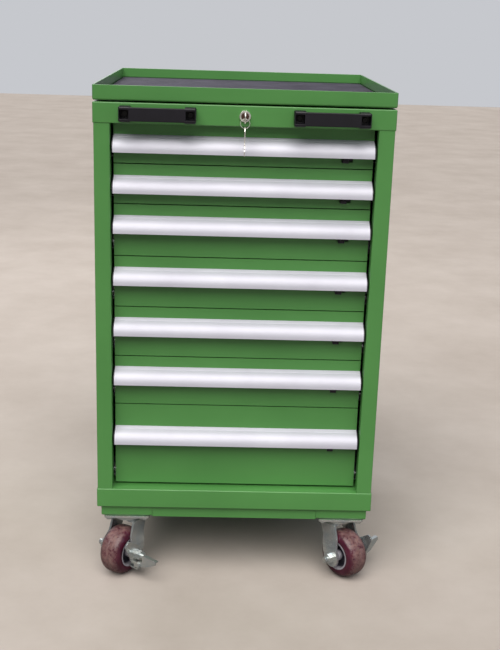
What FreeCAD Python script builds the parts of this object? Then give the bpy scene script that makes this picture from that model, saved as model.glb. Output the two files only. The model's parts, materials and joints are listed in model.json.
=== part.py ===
import FreeCAD, Part
import math
import os
import Sketcher
from FreeCAD import Vector

# A narrow steel drawer cabinet on casters. Millimetres, +Z up, seen from -Y. The origin lies on
# the floor under the middle of the cabinet. The front plane is the front of the header and base.

# Driving dimensions: name, value, what it is

SIZES = [
    ("cap_wide", 564, "width of the tray, header and base"),
    ("cap_deep", 572, "depth of the tray, header and base"),
    ("steel", 1.2, "sheet of the shells"),
    ("slip", 0.1, "gap between shells that slip into each other"),
    ("bend", 2, "outside radius of a sheet bend"),
    ("caster_high", 132, "floor to the underside of the subframe"),
    ("frame_high", 24, "height of the subframe"),
    ("frame_steel", 2, "sheet of the subframe"),
    ("frame_set", 8, "how far the subframe stands inside the base"),
    ("frame_bend", 5, "outside radius of the runners' lower bends"),
    ("runner_wide", 104, "width of a runner"),
    ("cross_deep", 50, "depth of a cross member"),
    ("cross_set", 1, "how far the cross members stand inside the runners"),
    ("seam_wide", 1, "width of the seams beside the cross members"),
    ("seam_deep", 1.5, "depth of the seams beside the cross members"),
    ("base_high", 40, "height of the base skirt"),
    ("base_steel", 1.5, "sheet of the base pan"),
    ("base_return", 14, "width of the base pan's lower flange"),
    ("small_pitch", 77, "height that a small drawer takes"),
    ("middle_pitch", 102, "height that a middle drawer takes"),
    ("large_pitch", 177, "height that the bottom drawer takes"),
    ("front_gap", 2, "gap between two drawer fronts"),
    ("sill_room", 3.5, "what the gap under the lowest front is wider"),
    ("ring_room", 1.5, "what the top drawer's front is lower for the key ring"),
    ("header_high", 38.5, "height of the header skirt"),
    ("header_lip", 20, "depth of the flange under the header"),
    ("lip_gap", 0.3, "gap between the header flange and the posts"),
    ("post_wide", 30.5, "width of a post flange"),
    ("post_return", 23.7, "depth of the post's inner return"),
    ("rear_flange", 18, "width of the side panel's rear flange"),
    ("foot_high", 3, "height of the tray's pressed feet"),
    ("foot_radius", 15, "radius of a pressed foot"),
    ("foot_reach", 200, "how far the pressed feet stand from the middle"),
    ("tray_high", 27.8, "height of the tray without its feet"),
    ("tray_bend", 3.6, "outside radius of the tray's bends"),
    ("hem_high", 20, "height of the folded rim of the tray"),
    ("hem_thick", 2.8, "thickness of the folded rim"),
    ("mat_thick", 5.8, "thickness of the mat"),
    ("mat_gap", 2.6, "gap between the mat and the tray wall"),
    ("mat_bevel", 1, "bevel of the mat's upper edge"),
    ("upright_set", 3.8, "how far the uprights stand outside the posts' edge"),
    ("upright_deep", 40, "depth of an upright"),
    ("upright_steel", 1.5, "sheet of an upright"),
    ("upright_front", 50, "front plane to the front uprights"),
    ("upright_rear", 92, "back plane to the rear uprights' front side"),
    ("upright_over", 25, "how far the uprights rise into the header"),
    ("rail_room", 18, "width between upright and drawer box for the rails"),
    ("rail_steel", 1.5, "sheet of the rails"),
    ("rail_flange", 13.5, "width of a cabinet rail"),
    ("rail_front", 44, "front plane to the front end of the rails"),
    ("rail_over", 4, "cabinet rail past the back of the drawer box"),
    ("rail_lift", 2, "cabinet rail above the bottom of the drawer box"),
    ("rail_less", 10, "what a drawer rail is short of the back of its box"),
    ("tongue_thick", 2, "thickness of the drawer rail's tongue"),
    ("tongue_wide", 12, "reach of the tongue past the drawer rail's web"),
    ("roller_radius", 9, "radius of a rail roller"),
    ("roller_wide", 9, "width of a rail roller"),
    ("roller_set", 12, "roller from the end of its rail"),
    ("roller_gap", 2, "cabinet roller from its rail's web"),
    ("drawer_roller_gap", 3, "drawer roller from its rail's web"),
    ("stud_radius", 3, "radius of a roller stud"),
    ("stud_head", 5, "radius of a roller stud's head"),
    ("stud_head_thick", 1.2, "thickness of a roller stud's head"),
    ("rail_run", 0.2, "running gap of rollers and tongues"),
    ("pan_set", 27, "front plane to the drawer front"),
    ("pan_deep", 15, "depth of the drawer front's folded pan"),
    ("pan_lip", 14, "width of the pan's rear lips"),
    ("end_gap", 4.2, "gap between drawer front and post"),
    ("drawer_steel", 1, "sheet of the drawers"),
    ("box_lift", 8, "drawer box above the front's lower edge"),
    ("box_less", 18, "what the drawer box is lower than its front"),
    ("box_room", 38.3, "drawer box to the sheet of the back panel"),
    ("box_flange", 9, "width of the drawer box's top flange"),
    ("catch_reach", 14, "rear catch lip from the back of the drawer box"),
    ("catch_wide", 20, "width of a rear catch lip"),
    ("catch_thick", 2, "thickness of a rear catch lip"),
    ("grip_drop", 21, "front's upper edge to the top of its grip"),
    ("large_grip_drop", 46.3, "the same on the bottom drawer"),
    ("grip_short", 0.5, "what the grip is shorter than the front at each end"),
    ("grip_wall", 2, "wall of the grip"),
    ("grip_high", 31.8, "height of the grip"),
    ("grip_web", 24, "height of the grip's rear web"),
    ("band_deep", 15, "depth of the grip's slanted band"),
    ("band_drop", 7.7, "fall of the slanted band"),
    ("band_groove", 0.8, "width of the groove along the band"),
    ("face_drop", 26.5, "top of the grip to the lower end of its round face"),
    ("face_radius", 24, "radius of the grip's round face"),
    ("latch_spot", 186, "middle of the cart to the thumb tab"),
    ("latch_tab", 12, "width of the thumb tab"),
    ("latch_front", 10, "front plane to the front of the thumb tab"),
    ("latch_top", 26, "top of the grip to the top of the thumb tab"),
    ("latch_high", 16.2, "height of the thumb tab"),
    ("latch_bar", 2, "thickness of the latch bar"),
    ("latch_bar_less", 2, "what the latch bar is lower at each edge"),
    ("latch_run", 0.2, "running gap of the latch"),
    ("latch_stroke", 9, "travel of the latch"),
    ("keeper_spot", 216, "middle of the cart to the latch keeper"),
    ("keeper_wide", 12, "width of the latch keeper"),
    ("keeper_thick", 1.5, "sheet of the latch keeper"),
    ("pull_spot", 161, "middle of the cart to the middle of a pull handle"),
    ("pull_long", 142, "length of a pull handle"),
    ("pull_high", 28, "height of a pull handle"),
    ("pull_deep", 27, "how far a pull handle stands out"),
    ("pull_pad", 21, "width of a pull handle's end pads"),
    ("pull_grip", 8, "thickness of a pull handle's grip"),
    ("pull_grip_less", 1.5, "what the grip is lower at each edge"),
    ("pull_pocket", 17, "side of the screw pockets"),
    ("pull_floor", 5, "thickness under a screw pocket"),
    ("pull_round", 3, "edge radius of a pull handle"),
    ("screw_radius", 2.5, "radius of a handle screw"),
    ("screw_head", 4.75, "radius of a handle screw's head"),
    ("screw_head_thick", 3.2, "thickness of a handle screw's head"),
    ("screw_long", 14, "length of a handle screw"),
    ("screw_nut", 4.6, "corner radius of a handle screw's nut"),
    ("screw_nut_thick", 4, "thickness of a handle screw's nut"),
    ("hole_gap", 0.2, "gap round a screw in its hole"),
    ("barrel_radius", 9.5, "radius of the lock housing's barrel"),
    ("barrel_long", 24, "length of the barrel behind the front plane"),
    ("collar_radius", 10.5, "radius of the lock housing's collar"),
    ("collar_thick", 4, "thickness of the collar"),
    ("lock_nut_radius", 13, "radius of the lock's nut"),
    ("lock_nut_thick", 3, "thickness of the lock's nut"),
    ("plug_radius", 7, "radius of the lock plug"),
    ("plug_proud", 0.6, "how far the plug stands out of the collar"),
    ("plug_run", 0.1, "running gap of the plug and the rod"),
    ("keyway_wide", 2.5, "width of the keyway"),
    ("keyway_high", 9, "height of the keyway"),
    ("keyway_deep", 22, "depth of the keyway"),
    ("key_thick", 2, "thickness of the key"),
    ("key_blade", 8, "height of the key's blade"),
    ("key_deep", 20, "length of the blade inside the plug"),
    ("bow_radius", 12, "radius of the key's bow"),
    ("bow_spot", 19, "front plane to the middle of the bow"),
    ("bow_hole", 4, "radius of the hole in the bow"),
    ("ring_wire", 0.8, "radius of the key ring's wire"),
    ("ring_radius", 8.65, "radius of the key ring to the wire's middle"),
    ("ring_gap", 0.25, "gap between the ring and the bow's rim"),
    ("rod_radius", 4, "radius of the lock rod"),
    ("crank_radius", 12, "lock axis to the crank pin"),
    ("crank_angle", 45, "crank pin below the level at rest"),
    ("crank_thick", 5, "thickness of the crank arm"),
    ("crank_lead", 6, "crank arm to the locking bar"),
    ("pin_radius", 3, "radius of the crank pin"),
    ("bar_spot", 10, "middle of the cart to the middle of the locking bar"),
    ("bar_wide", 24, "width of the locking bar"),
    ("bar_thick", 2, "thickness of the locking bar"),
    ("bar_room", 8.3, "space behind the locking bar"),
    ("bar_low", 215, "floor to the lower end of the locking bar"),
    ("slot_gap", 0.5, "gap round the crank pin in its slot"),
    ("slot_rim", 4.5, "metal above the crank slot"),
    ("nose_wide", 14, "width of a locking nose"),
    ("nose_thick", 2.5, "thickness of a locking nose"),
    ("nose_high", 8, "height of a locking nose"),
    ("nose_run", 1, "gap between a raised nose and its lip"),
    ("nose_room", 2, "gap between a raised nose and the catch's shelf"),
    ("guide_rim", 4, "metal round the bar in a guide"),
    ("guide_high", 10, "height of a guide"),
    ("guide_run", 0.3, "gap round the bar in a guide"),
    ("guide_low", 250, "floor to the lowest guide"),
    ("guide_middle", 600, "floor to the middle guide"),
    ("guide_top", 925, "floor to the upper guide"),
    ("bracket_spot", 2, "middle of the cart to the middle of the rod bracket"),
    ("bracket_deep", 32.3, "reach of the rod bracket"),
    ("bracket_wide", 52, "width of the rod bracket"),
    ("bracket_high", 20, "height of the rod bracket"),
    ("bracket_steel", 2, "sheet of the rod bracket"),
    ("caster_in", 60, "side plane to a caster's middle line"),
    ("caster_set", 38, "front or back plane to a kingpin"),
    ("left_turn", -33, "turn of the left front caster"),
    ("right_turn", 38, "turn of the right front caster"),
    ("trail", 21, "kingpin to the axle of a swivel caster"),
    ("plate_wide", 93, "width of a caster plate"),
    ("plate_deep", 64, "depth of a caster plate"),
    ("plate_thick", 4.5, "thickness of a caster plate"),
    ("bolt_wide", 74, "bolt spacing across"),
    ("bolt_deep", 42, "bolt spacing front to back"),
    ("bolt_radius", 4, "radius of a caster bolt"),
    ("bolt_corner", 7.5, "corner radius of the bolt's head and nut"),
    ("bolt_head_thick", 5.3, "thickness of a caster bolt's head"),
    ("bolt_nut_thick", 6.5, "thickness of a caster bolt's nut"),
    ("bolt_end", 2, "bolt past its nut"),
    ("race_radius", 27, "radius of the ball races"),
    ("race_high", 3.5, "height of the upper race"),
    ("race_low_high", 4.3, "height of the lower race"),
    ("race_run", 0.2, "gap between the races"),
    ("kingpin_radius", 7.5, "radius of the kingpin"),
    ("kingpin_head", 11, "radius of the kingpin's head"),
    ("kingpin_head_thick", 3.8, "thickness of the kingpin's head"),
    ("fork_steel", 4.5, "plate of the forks"),
    ("fork_top", 29, "half width of a fork at its crown"),
    ("fork_waist", 30.5, "half width where the legs start to flare"),
    ("fork_flare", 37, "half width where the flare ends"),
    ("fork_foot", 39.5, "half width at the axle"),
    ("fork_bend", 6, "outside radius of the crown's bends"),
    ("waist_high", 88, "floor to the start of the flare"),
    ("flare_high", 72, "floor to the end of the flare"),
    ("leg_round", 20, "radius of a leg's lower end"),
    ("leg_front", 15, "kingpin to the leg's front at the crown"),
    ("leg_rear", 27, "kingpin to the leg's rear at the crown"),
    ("rigid_leg", 24, "half depth of a rigid fork's leg at its top"),
    ("wheel_radius", 50, "radius of a wheel"),
    ("wheel_wide", 50, "width of a wheel"),
    ("tread_flat", 18, "width of the tread's flat crown"),
    ("tread_side", 37.5, "radius at which the tread's side ends"),
    ("tread_round", 17, "radius of the tread's shoulders"),
    ("hub_radius", 31, "radius of the hub's rim"),
    ("rim_inner", 27.5, "inner radius of the hub's rim at its edge"),
    ("web_outer", 25, "inner radius of the hub's rim at the web"),
    ("web_thick", 14, "thickness of the hub's web"),
    ("boss_radius", 12, "radius of the hub's boss"),
    ("boss_proud", 1, "how far the boss stands out of the wheel"),
    ("axle_radius", 6, "radius of the axle bolt"),
    ("axle_run", 0.1, "running gap of hub and axle"),
    ("spacer_radius", 9, "radius of the axle spacers"),
    ("nut_corner", 11, "corner radius of the axle nuts"),
    ("nut_thick", 10, "thickness of the axle nuts"),
    ("axle_end", 8, "axle rod past its nuts"),
    ("brake_steel", 2.5, "plate of the brake bracket"),
    ("brake_rear", 7, "kingpin to the rear edge of the brake bracket"),
    ("brake_front", 60, "kingpin to the front edge of the brake bracket"),
    ("brake_neck", 50, "kingpin to the bend in the bracket's front edge"),
    ("brake_toe", 41, "kingpin to the bracket's lower front corner"),
    ("brake_low", 29, "floor to the brake bracket"),
    ("toe_high", 37, "floor to the bracket's lower front corner"),
    ("neck_high", 58, "floor to the bend in the bracket's front edge"),
    ("shoulder_high", 62, "floor to the bracket's upper rear corner"),
    ("brake_top", 90, "floor to the top of the brake bracket"),
    ("brake_round", 11, "radius of the bracket's upper front corner"),
    ("ear_wide", 22, "width between the bracket's ears"),
    ("ear_thick", 2.5, "plate of the ears"),
    ("ear_round", 6, "radius of the ears round the pin"),
    ("pedal_spot", 50, "wheel's middle to the pedal pin"),
    ("pedal_low", 17, "height of the axle over the pedal pin"),
    ("pedal_pin", 2.5, "radius of the pedal pin"),
    ("pedal_run", 0.2, "running gap of the pedal"),
    ("pedal_barrel", 4.5, "radius of the pedal's barrel"),
    ("pedal_thick", 2.5, "plate of the pedal"),
    ("pedal_knee", 20, "pin to the bend under the pedal"),
    ("knee_high", 2, "pin to the height of that bend"),
    ("pedal_long", 43, "pin to the outer end of the pedal"),
    ("pedal_tip", 7, "height of the pedal's outer end"),
    ("pedal_high", 25, "pin to the top of the pedal"),
    ("pedal_neck", 9, "pin to the inner edge of the pedal's upper part"),
    ("neck_low", 10, "pin to the lower end of that edge"),
    ("pad_start", 12, "pin to the start of the pedal's tread"),
    ("pad_wide", 9, "width of the pedal's tread"),
    ("arm_low", 13, "pin to the lower end of the pedal's arm"),
    ("finger_wide", 12, "width of the brake finger"),
    ("finger_thick", 3, "height of the brake finger"),
    ("finger_tip", 27, "wheel's middle to the tip of the level brake finger"),
    ("left_tilt", -8, "pedal of the left caster above the level, braked"),
    ("right_tilt", 7, "pedal of the right caster above the level, free"),
]


class Size:
    """A length or an angle: its number, and the sheet's expression that gives it."""

    def __init__(self, value, text):
        self.value = value
        self.text = text

    def __add__(self, other):
        other = as_size(other)
        return Size(self.value + other.value, f"({self.text} + {other.text})")

    def __sub__(self, other):
        other = as_size(other)
        return Size(self.value - other.value, f"({self.text} - {other.text})")

    def __mul__(self, factor):
        factor = as_size(factor)
        return Size(self.value * factor.value, f"({self.text} * {factor.text})")

    def __truediv__(self, factor):
        factor = as_size(factor)
        return Size(self.value / factor.value, f"({self.text} / {factor.text})")

    def __neg__(self):
        return Size(-self.value, f"(0 - {self.text})")


def as_size(number):
    """A Size as it is, and a bare number as a Size."""
    if isinstance(number, Size):
        return number
    return Size(float(number), f"({float(number):.10g})")


def sine(angle):
    return Size(math.sin(math.radians(angle.value)), f"sin({angle.text})")


def cosine(angle):
    return Size(math.cos(math.radians(angle.value)), f"cos({angle.text})")


def slant(run, fall):
    """The length of a slope with this run and fall."""
    return Size(math.hypot(run.value, fall.value), f"hypot({run.text}; {fall.text})")


def root(square):
    return Size(math.sqrt(square.value), f"sqrt({square.text})")


class SizeSheet:
    """The driving dimensions as Size attributes, each tied to its cell."""

    def __init__(self, document, rows):
        cells = document.addObject("Spreadsheet::Sheet", "Sizes")
        for number, (alias, value, words) in enumerate(rows, start=1):
            cells.set(f"A{number}", words)
            cells.set(f"B{number}", f"{value:.10g}")
            cells.setAlias(f"B{number}", alias)
            setattr(self, alias, Size(value, f"Sizes.{alias}"))


doc = FreeCAD.newDocument("tool_cart")
s = SizeSheet(doc, SIZES)
doc.recompute()
nodes = {}

# Building blocks

AXIS_TURN = {"x": (Vector(0, 1, 0), 90), "y": (Vector(1, 0, 0), -90), "z": (Vector(0, 0, 1), 0)}
PLANE_ACROSS = {"x": "YZ_Plane", "y": "XZ_Plane", "z": "XY_Plane"}
AROUND = (("-x", "-y"), ("+x", "-y"), ("-x", "+y"), ("+x", "+y"))
ON_TOP = (("-x", "+z"), ("+x", "+z"), ("-y", "+z"), ("+y", "+z"))
BELOW = (("-x", "-z"), ("+x", "-z"), ("-y", "-z"), ("+y", "-z"))


def bind(made, path, size):
    """Ties a property to the sheet."""
    made.setExpression(path, as_size(size).text)


def place(made, x, y, z):
    bind(made, "Placement.Base.x", x)
    bind(made, "Placement.Base.y", y)
    bind(made, "Placement.Base.z", z)
    return made


def turn(made, angle, axis=Vector(0, 0, 1)):
    """Turns a finished piece about an axis through its own origin."""
    made.Placement = FreeCAD.Placement(made.Placement.Base, FreeCAD.Rotation(axis, angle.value))
    bind(made, "Placement.Rotation.Angle", angle)
    return made


def box(name, x, y, z):
    """A box from its low and high side along each axis."""
    made = doc.addObject("Part::Box", name)
    for path, (low, high) in (("Length", x), ("Width", y), ("Height", z)):
        bind(made, path, as_size(high) - low)
    return place(made, x[0], y[0], z[0])


def cylinder(name, axis, start, length, radius):
    """A cylinder that runs along an axis from its start point."""
    made = doc.addObject("Part::Cylinder", name)
    made.Placement.Rotation = FreeCAD.Rotation(*AXIS_TURN[axis])
    bind(made, "Radius", radius)
    bind(made, "Height", length)
    return place(made, *start)


def hexagon(name, axis, start, length, corner):
    """A six-sided nut or bolt head along an axis."""
    made = doc.addObject("Part::Prism", name)
    made.Polygon = 6
    made.Placement.Rotation = FreeCAD.Rotation(*AXIS_TURN[axis])
    bind(made, "Circumradius", corner)
    bind(made, "Height", length)
    return place(made, *start)


def fuse(name, *pieces):
    made = doc.addObject("Part::MultiFuse", name)
    made.Shapes = list(pieces)
    made.Refine = True
    return made


def cut(name, base, *tools):
    made = doc.addObject("Part::Cut", name)
    made.Base = base
    made.Tool = tools[0] if len(tools) == 1 else fuse(name + "_tools", *tools)
    return made


def common(name, first, second):
    made = doc.addObject("Part::Common", name)
    made.Base = first
    made.Tool = second
    return made


def group(name, *pieces):
    """Separate solids that share one node."""
    made = doc.addObject("Part::Compound", name)
    made.Links = list(pieces)
    return made


def on_side(shape, point, side):
    """Whether a point lies on the given side of a shape's box."""
    bounds = shape.BoundBox
    places = {"-x": (point.x, bounds.XMin), "+x": (point.x, bounds.XMax),
              "-y": (point.y, bounds.YMin), "+y": (point.y, bounds.YMax),
              "-z": (point.z, bounds.ZMin), "+z": (point.z, bounds.ZMax)}
    place_there, limit = places[side]
    return abs(place_there - limit) < 0.001


def edge_numbers(shape, pairs):
    """The numbers of the edges that lie on both sides of one of the pairs."""
    found = []
    for number, edge in enumerate(shape.Edges, start=1):
        for pair in pairs:
            if all(on_side(shape, end.Point, side) for end in edge.Vertexes for side in pair):
                found.append(number)
                break
    return found


def rounded(name, base, radius, *pairs):
    """Rounds the edges that lie on both sides of a pair."""
    doc.recompute()
    made = doc.addObject("Part::Fillet", name)
    made.Base = base
    made.Edges = [(number, radius.value, radius.value) for number in edge_numbers(base.Shape, pairs)]
    return made


def arc_centre(start, end, radius):
    """The centre of a short arc that bulges left of the way when the radius is positive."""
    run, rise = end[0] - start[0], end[1] - start[1]
    chord = slant(run, rise)
    depth = root(radius * radius - chord * chord / 4)
    share = depth / chord * math.copysign(1, radius.value)
    return ((start[0] + end[0]) / 2 + rise * share, (start[1] + end[1]) / 2 - run * share)


def outline(body, name, plane, away, points, up=None):
    """A closed sketch. A point is (u, v), or (u, v, radius) where the next side is an arc."""
    sketch = body.newObject("Sketcher::SketchObject", name)
    origin_plane = [item for item in body.Origin.OriginFeatures if item.Role == plane][0]
    sketch.AttachmentSupport = [(origin_plane, "")]
    sketch.MapMode = "FlatFace"
    bind(sketch, "AttachmentOffset.Base.z", away)
    if up is not None:
        bind(sketch, "AttachmentOffset.Base.y", up)
    corners = [(as_size(point[0]), as_size(point[1])) for point in points]
    count = len(points)
    first_end, rules, ties = [], [], {}

    def tie(kind, number, end, size):
        """A coordinate of one point of the sketch, tied to the sheet."""
        ties[len(rules)] = size.text
        rules.append(Sketcher.Constraint(kind, number, end, size.value))

    for number, point in enumerate(points):
        near, far = corners[number], corners[(number + 1) % count]
        start = Vector(near[0].value, near[1].value, 0)
        end = Vector(far[0].value, far[1].value, 0)
        first_end.append(1)
        if len(point) == 3:
            radius = as_size(point[2])
            centre = arc_centre(near, far, radius)
            middle = Vector(centre[0].value, centre[1].value, 0)
            ends = [start, end]
            if radius.value > 0:
                ends.reverse()
                first_end[number] = 2
            low, high = [math.atan2(spot.y - middle.y, spot.x - middle.x) for spot in ends]
            if high < low:
                high += 2 * math.pi
            circle = Part.Circle(middle, Vector(0, 0, 1), abs(radius.value))
            sketch.addGeometry(Part.ArcOfCircle(circle, low, high), False)
            if abs(start.y - end.y) > abs(start.x - end.x):
                tie("DistanceX", number, 3, centre[0])
            else:
                tie("DistanceY", number, 3, centre[1])
        else:
            sketch.addGeometry(Part.LineSegment(start, end), False)
        tie("DistanceX", number, first_end[number], near[0])
        tie("DistanceY", number, first_end[number], near[1])
    for number in range(count):
        following = (number + 1) % count
        rules.append(Sketcher.Constraint(
            "Coincident", number, 3 - first_end[number], following, first_end[following]))
    sketch.addConstraint(rules)
    for index, text in ties.items():
        sketch.setExpression(f"Constraints[{index}]", text)
    return sketch


def extruded(name, axis, span, points):
    """A body of one outline, carried along an axis from the low to the high end of its span."""
    body = doc.addObject("PartDesign::Body", name)
    low, high = as_size(span[0]), as_size(span[1])
    away = -high if axis == "y" else low
    sketch = outline(body, name + "_outline", PLANE_ACROSS[axis], away, points)
    pad = body.newObject("PartDesign::Pad", name + "_pad")
    pad.Profile = sketch
    bind(pad, "Length", high - low)
    sketch.Visibility = False
    return body


def spun(name, at_y, at_z, points):
    """A body turned about a line along X through (at_y, at_z), from points (x, radius)."""
    body = doc.addObject("PartDesign::Body", name)
    sketch = outline(body, name + "_outline", "XZ_Plane", -as_size(at_y), points, at_z)
    made = body.newObject("PartDesign::Revolution", name + "_turned")
    made.Profile = sketch
    made.ReferenceAxis = (sketch, ["H_Axis"])
    made.Angle = 360
    sketch.Visibility = False
    return body


def bent(body, radius, *spots):
    """Rounds a body's upright edges at the given (x, y) spots."""
    doc.recompute()
    base = body.Tip
    names = []
    for number, edge in enumerate(base.Shape.Edges, start=1):
        for x, y in spots:
            there = [math.hypot(end.Point.x - x.value, end.Point.y - y.value) < 0.001
                     for end in edge.Vertexes]
            if all(there):
                names.append(f"Edge{number}")
    made = body.newObject("PartDesign::Fillet", f"{body.Name}_bends_{len(body.Group)}")
    made.Base = (base, names)
    bind(made, "Radius", radius)
    return body


def node(name, made):
    """Enters a finished sub-part under its node's name."""
    made.Label = name
    nodes[name] = made


# Levels and planes that several sub-parts share

FRONT = -(s.cap_deep / 2)
BACK = s.cap_deep / 2
HALF = s.cap_wide / 2
base_low = s.caster_high + s.frame_high
opening_low = base_low + s.base_high
PITCHES = [s.small_pitch] * 2 + [s.middle_pitch] * 4 + [s.large_pitch]
header_low = opening_low
for pitch in PITCHES:
    header_low = header_low + pitch
header_top = header_low + s.header_high
under_cover = header_top - s.steel
lock_high = header_low + s.header_high / 2
tray_low = header_top + s.foot_high
tray_floor = tray_low + s.steel
tray_top = tray_low + s.tray_high

side_out = HALF - s.steel - s.slip
side_in = side_out - s.steel
post_edge = side_out - s.post_wide
post_front = FRONT + s.steel + s.slip
panel_back = BACK - s.steel - s.slip
panel_in = panel_back - s.steel * 2
upright_in = post_edge + s.upright_set
box_half = upright_in - s.rail_room
pan_half = post_edge - s.end_gap
pan_front = FRONT + s.pan_set
box_front = pan_front + s.pan_deep
box_back = panel_in - s.box_room
rail_start = FRONT + s.rail_front
bar_back = panel_in - s.bar_room
bar_front = bar_back - s.bar_thick
nose_back = box_back + s.catch_reach - s.catch_thick - s.nose_run
bar_left = s.bar_spot - s.bar_wide / 2
bar_right = s.bar_spot + s.bar_wide / 2
bar_lift = s.crank_radius * sine(s.crank_angle) * 2
catch_high = s.drawer_steel + s.nose_room + s.nose_high - s.bar_thick - s.nose_run


class Drawer:
    """The levels of one drawer, from the opening's top boundary down."""

    def __init__(self, number, top, pitch):
        self.name = f"drawer_{number}"
        room = s.front_gap / 2
        row_low = top - pitch + room
        self.front_low = row_low + (s.sill_room if number == len(PITCHES) else 0)
        self.front_top = top - room - (s.ring_room if number == 1 else 0)
        self.grip_top = top - room - (s.large_grip_drop if number == len(PITCHES) else s.grip_drop)
        self.box_low = row_low + s.box_lift
        self.box_top = self.box_low + pitch - s.front_gap - s.box_less
        self.rail_low = self.box_low + s.rail_lift
        self.rail_in = self.rail_low + s.rail_steel
        self.roller_high = self.rail_in + s.rail_run + s.roller_radius
        self.tongue_low = self.roller_high + s.roller_radius + s.rail_run
        self.rail_top = self.tongue_low + s.tongue_thick + s.rail_run + s.rail_steel
        self.nose_top = self.box_top - s.drawer_steel - s.nose_room - bar_lift


drawers = []
boundary = header_low
for count, pitch in enumerate(PITCHES, start=1):
    drawers.append(Drawer(count, boundary, pitch))
    boundary = boundary - pitch

# Cabinet shell


def side_panel(name, side):
    """A folded side wall: post flange with its return in front, a flange at the back."""
    out, inner = side_out * side, side_in * side
    edge, edge_in = post_edge * side, (post_edge + s.steel) * side
    rear = (side_out - s.rear_flange) * side
    front_in, back_in = post_front + s.steel, panel_back - s.steel
    body = extruded(name, "z", (opening_low, under_cover), [
        (edge, post_front), (out, post_front), (out, panel_back), (rear, panel_back),
        (rear, back_in), (inner, back_in), (inner, front_in), (edge_in, front_in),
        (edge_in, post_front + s.post_return), (edge, post_front + s.post_return)])
    bent(body, s.bend, (out, post_front), (out, panel_back), (edge, post_front))
    bent(body, s.bend - s.steel, (inner, front_in), (inner, back_in), (edge_in, front_in))
    node(name, body)


def back_panel():
    """The rear sheet, with the guides of the locking bar and the bracket of the lock rod."""
    name = "back_panel"
    half = side_in - s.slip - (s.bend - s.steel)
    sheet = box(name + "_sheet", (-half, half), (panel_in, panel_in + s.steel),
                (opening_low, under_cover))
    pieces = [sheet]
    for count, low in enumerate((s.guide_low, s.guide_middle, s.guide_top), start=1):
        block = box(f"{name}_guide_{count}", (bar_left - s.guide_rim, bar_right + s.guide_rim),
                    (bar_front - s.guide_rim + s.steel, panel_in), (low, low + s.guide_high))
        path = box(f"{name}_path_{count}", (bar_left - s.guide_run, bar_right + s.guide_run),
                   (bar_front - s.guide_run, bar_back + s.guide_run),
                   (low - 1, low + s.guide_high + 1))
        pieces.append(cut(f"{name}_guide_{count}_cut", block, path))
    left, right = s.bracket_spot - s.bracket_wide / 2, s.bracket_spot + s.bracket_wide / 2
    low, high = lock_high - s.bracket_high / 2, lock_high + s.bracket_high / 2
    reach = panel_in - s.bracket_deep
    whole = box(name + "_bracket", (left, right), (reach, panel_in), (low, high))
    hollow = box(name + "_bracket_in", (left + s.bracket_steel, right - s.bracket_steel),
                 (reach + s.bracket_steel, panel_in), (low - 1, high + 1))
    bore = cylinder(name + "_bracket_bore", "y", (0, reach - 1, lock_high),
                    s.bracket_steel + 2, s.rod_radius + s.plug_run)
    pieces.append(cut(name + "_bracket_cut", whole, hollow, bore))
    node(name, fuse(name, *pieces))


def pull_spots():
    """The middle of each screw of the pull handles, across."""
    reach = (s.pull_long - s.pull_pad) / 2
    return [(s.pull_spot * side) + reach * end for side in (-1, 1) for end in (-1, 1)]


def top_cover():
    """The cover plate with its four skirts and the folded flange under the front."""
    name = "top_cover"
    block = box(name + "_block", (-HALF, HALF), (FRONT, BACK), (header_low, header_top))
    shell = rounded(name + "_bends", block, s.bend, *AROUND, *ON_TOP, ("-y", "-z"))
    lip_half = post_edge - s.lip_gap
    lip_back = FRONT + s.steel + s.header_lip
    inside = (-HALF + s.steel, HALF - s.steel)
    below = (header_low - 1, header_low + s.steel + 1)
    hollows = [box(name + "_in", inside, (FRONT + s.steel, BACK - s.steel),
                   (header_low + s.steel, under_cover)),
               box(name + "_below", inside, (lip_back, BACK - s.steel), below),
               box(name + "_left", (inside[0], -lip_half), (FRONT + s.steel, lip_back + 1), below),
               box(name + "_right", (lip_half, inside[1]), (FRONT + s.steel, lip_back + 1), below)]
    holes = [cylinder(name + "_lock_hole", "y", (0, FRONT - 1, lock_high),
                      s.steel + 2, s.barrel_radius + s.hole_gap)]
    for count, x in enumerate(pull_spots(), start=1):
        holes.append(cylinder(f"{name}_hole_{count}", "y", (x, FRONT - 1, lock_high),
                              s.steel + 2, s.screw_radius + s.hole_gap))
    node(name, cut(name, shell, *hollows, *holes))


def base_pan():
    """The base: a top plate with a skirt all round and a narrow flange below."""
    name = "base_pan"
    block = box(name + "_block", (-HALF, HALF), (FRONT, BACK), (base_low, opening_low))
    shell = rounded(name + "_bends", block, s.bend, *AROUND, *ON_TOP, *BELOW)
    wall, rim = s.base_steel, s.base_return
    hollow = box(name + "_in", (-HALF + wall, HALF - wall), (FRONT + wall, BACK - wall),
                 (base_low + wall, opening_low - wall))
    below = box(name + "_below", (-HALF + rim, HALF - rim), (FRONT + rim, BACK - rim),
                (base_low - 1, base_low + wall + 1))
    node(name, cut(name, shell, hollow, below))


def caster_spots():
    """The middle of each caster plate, front left, front right, rear left, rear right."""
    places = []
    for y in (FRONT + s.caster_set, BACK - s.caster_set):
        places += [((HALF - s.caster_in) * side, y) for side in (-1, 1)]
    return places


def bolt_spots():
    return [(x + s.bolt_wide / 2 * across, y + s.bolt_deep / 2 * along)
            for x, y in caster_spots() for across in (-1, 1) for along in (-1, 1)]


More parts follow.
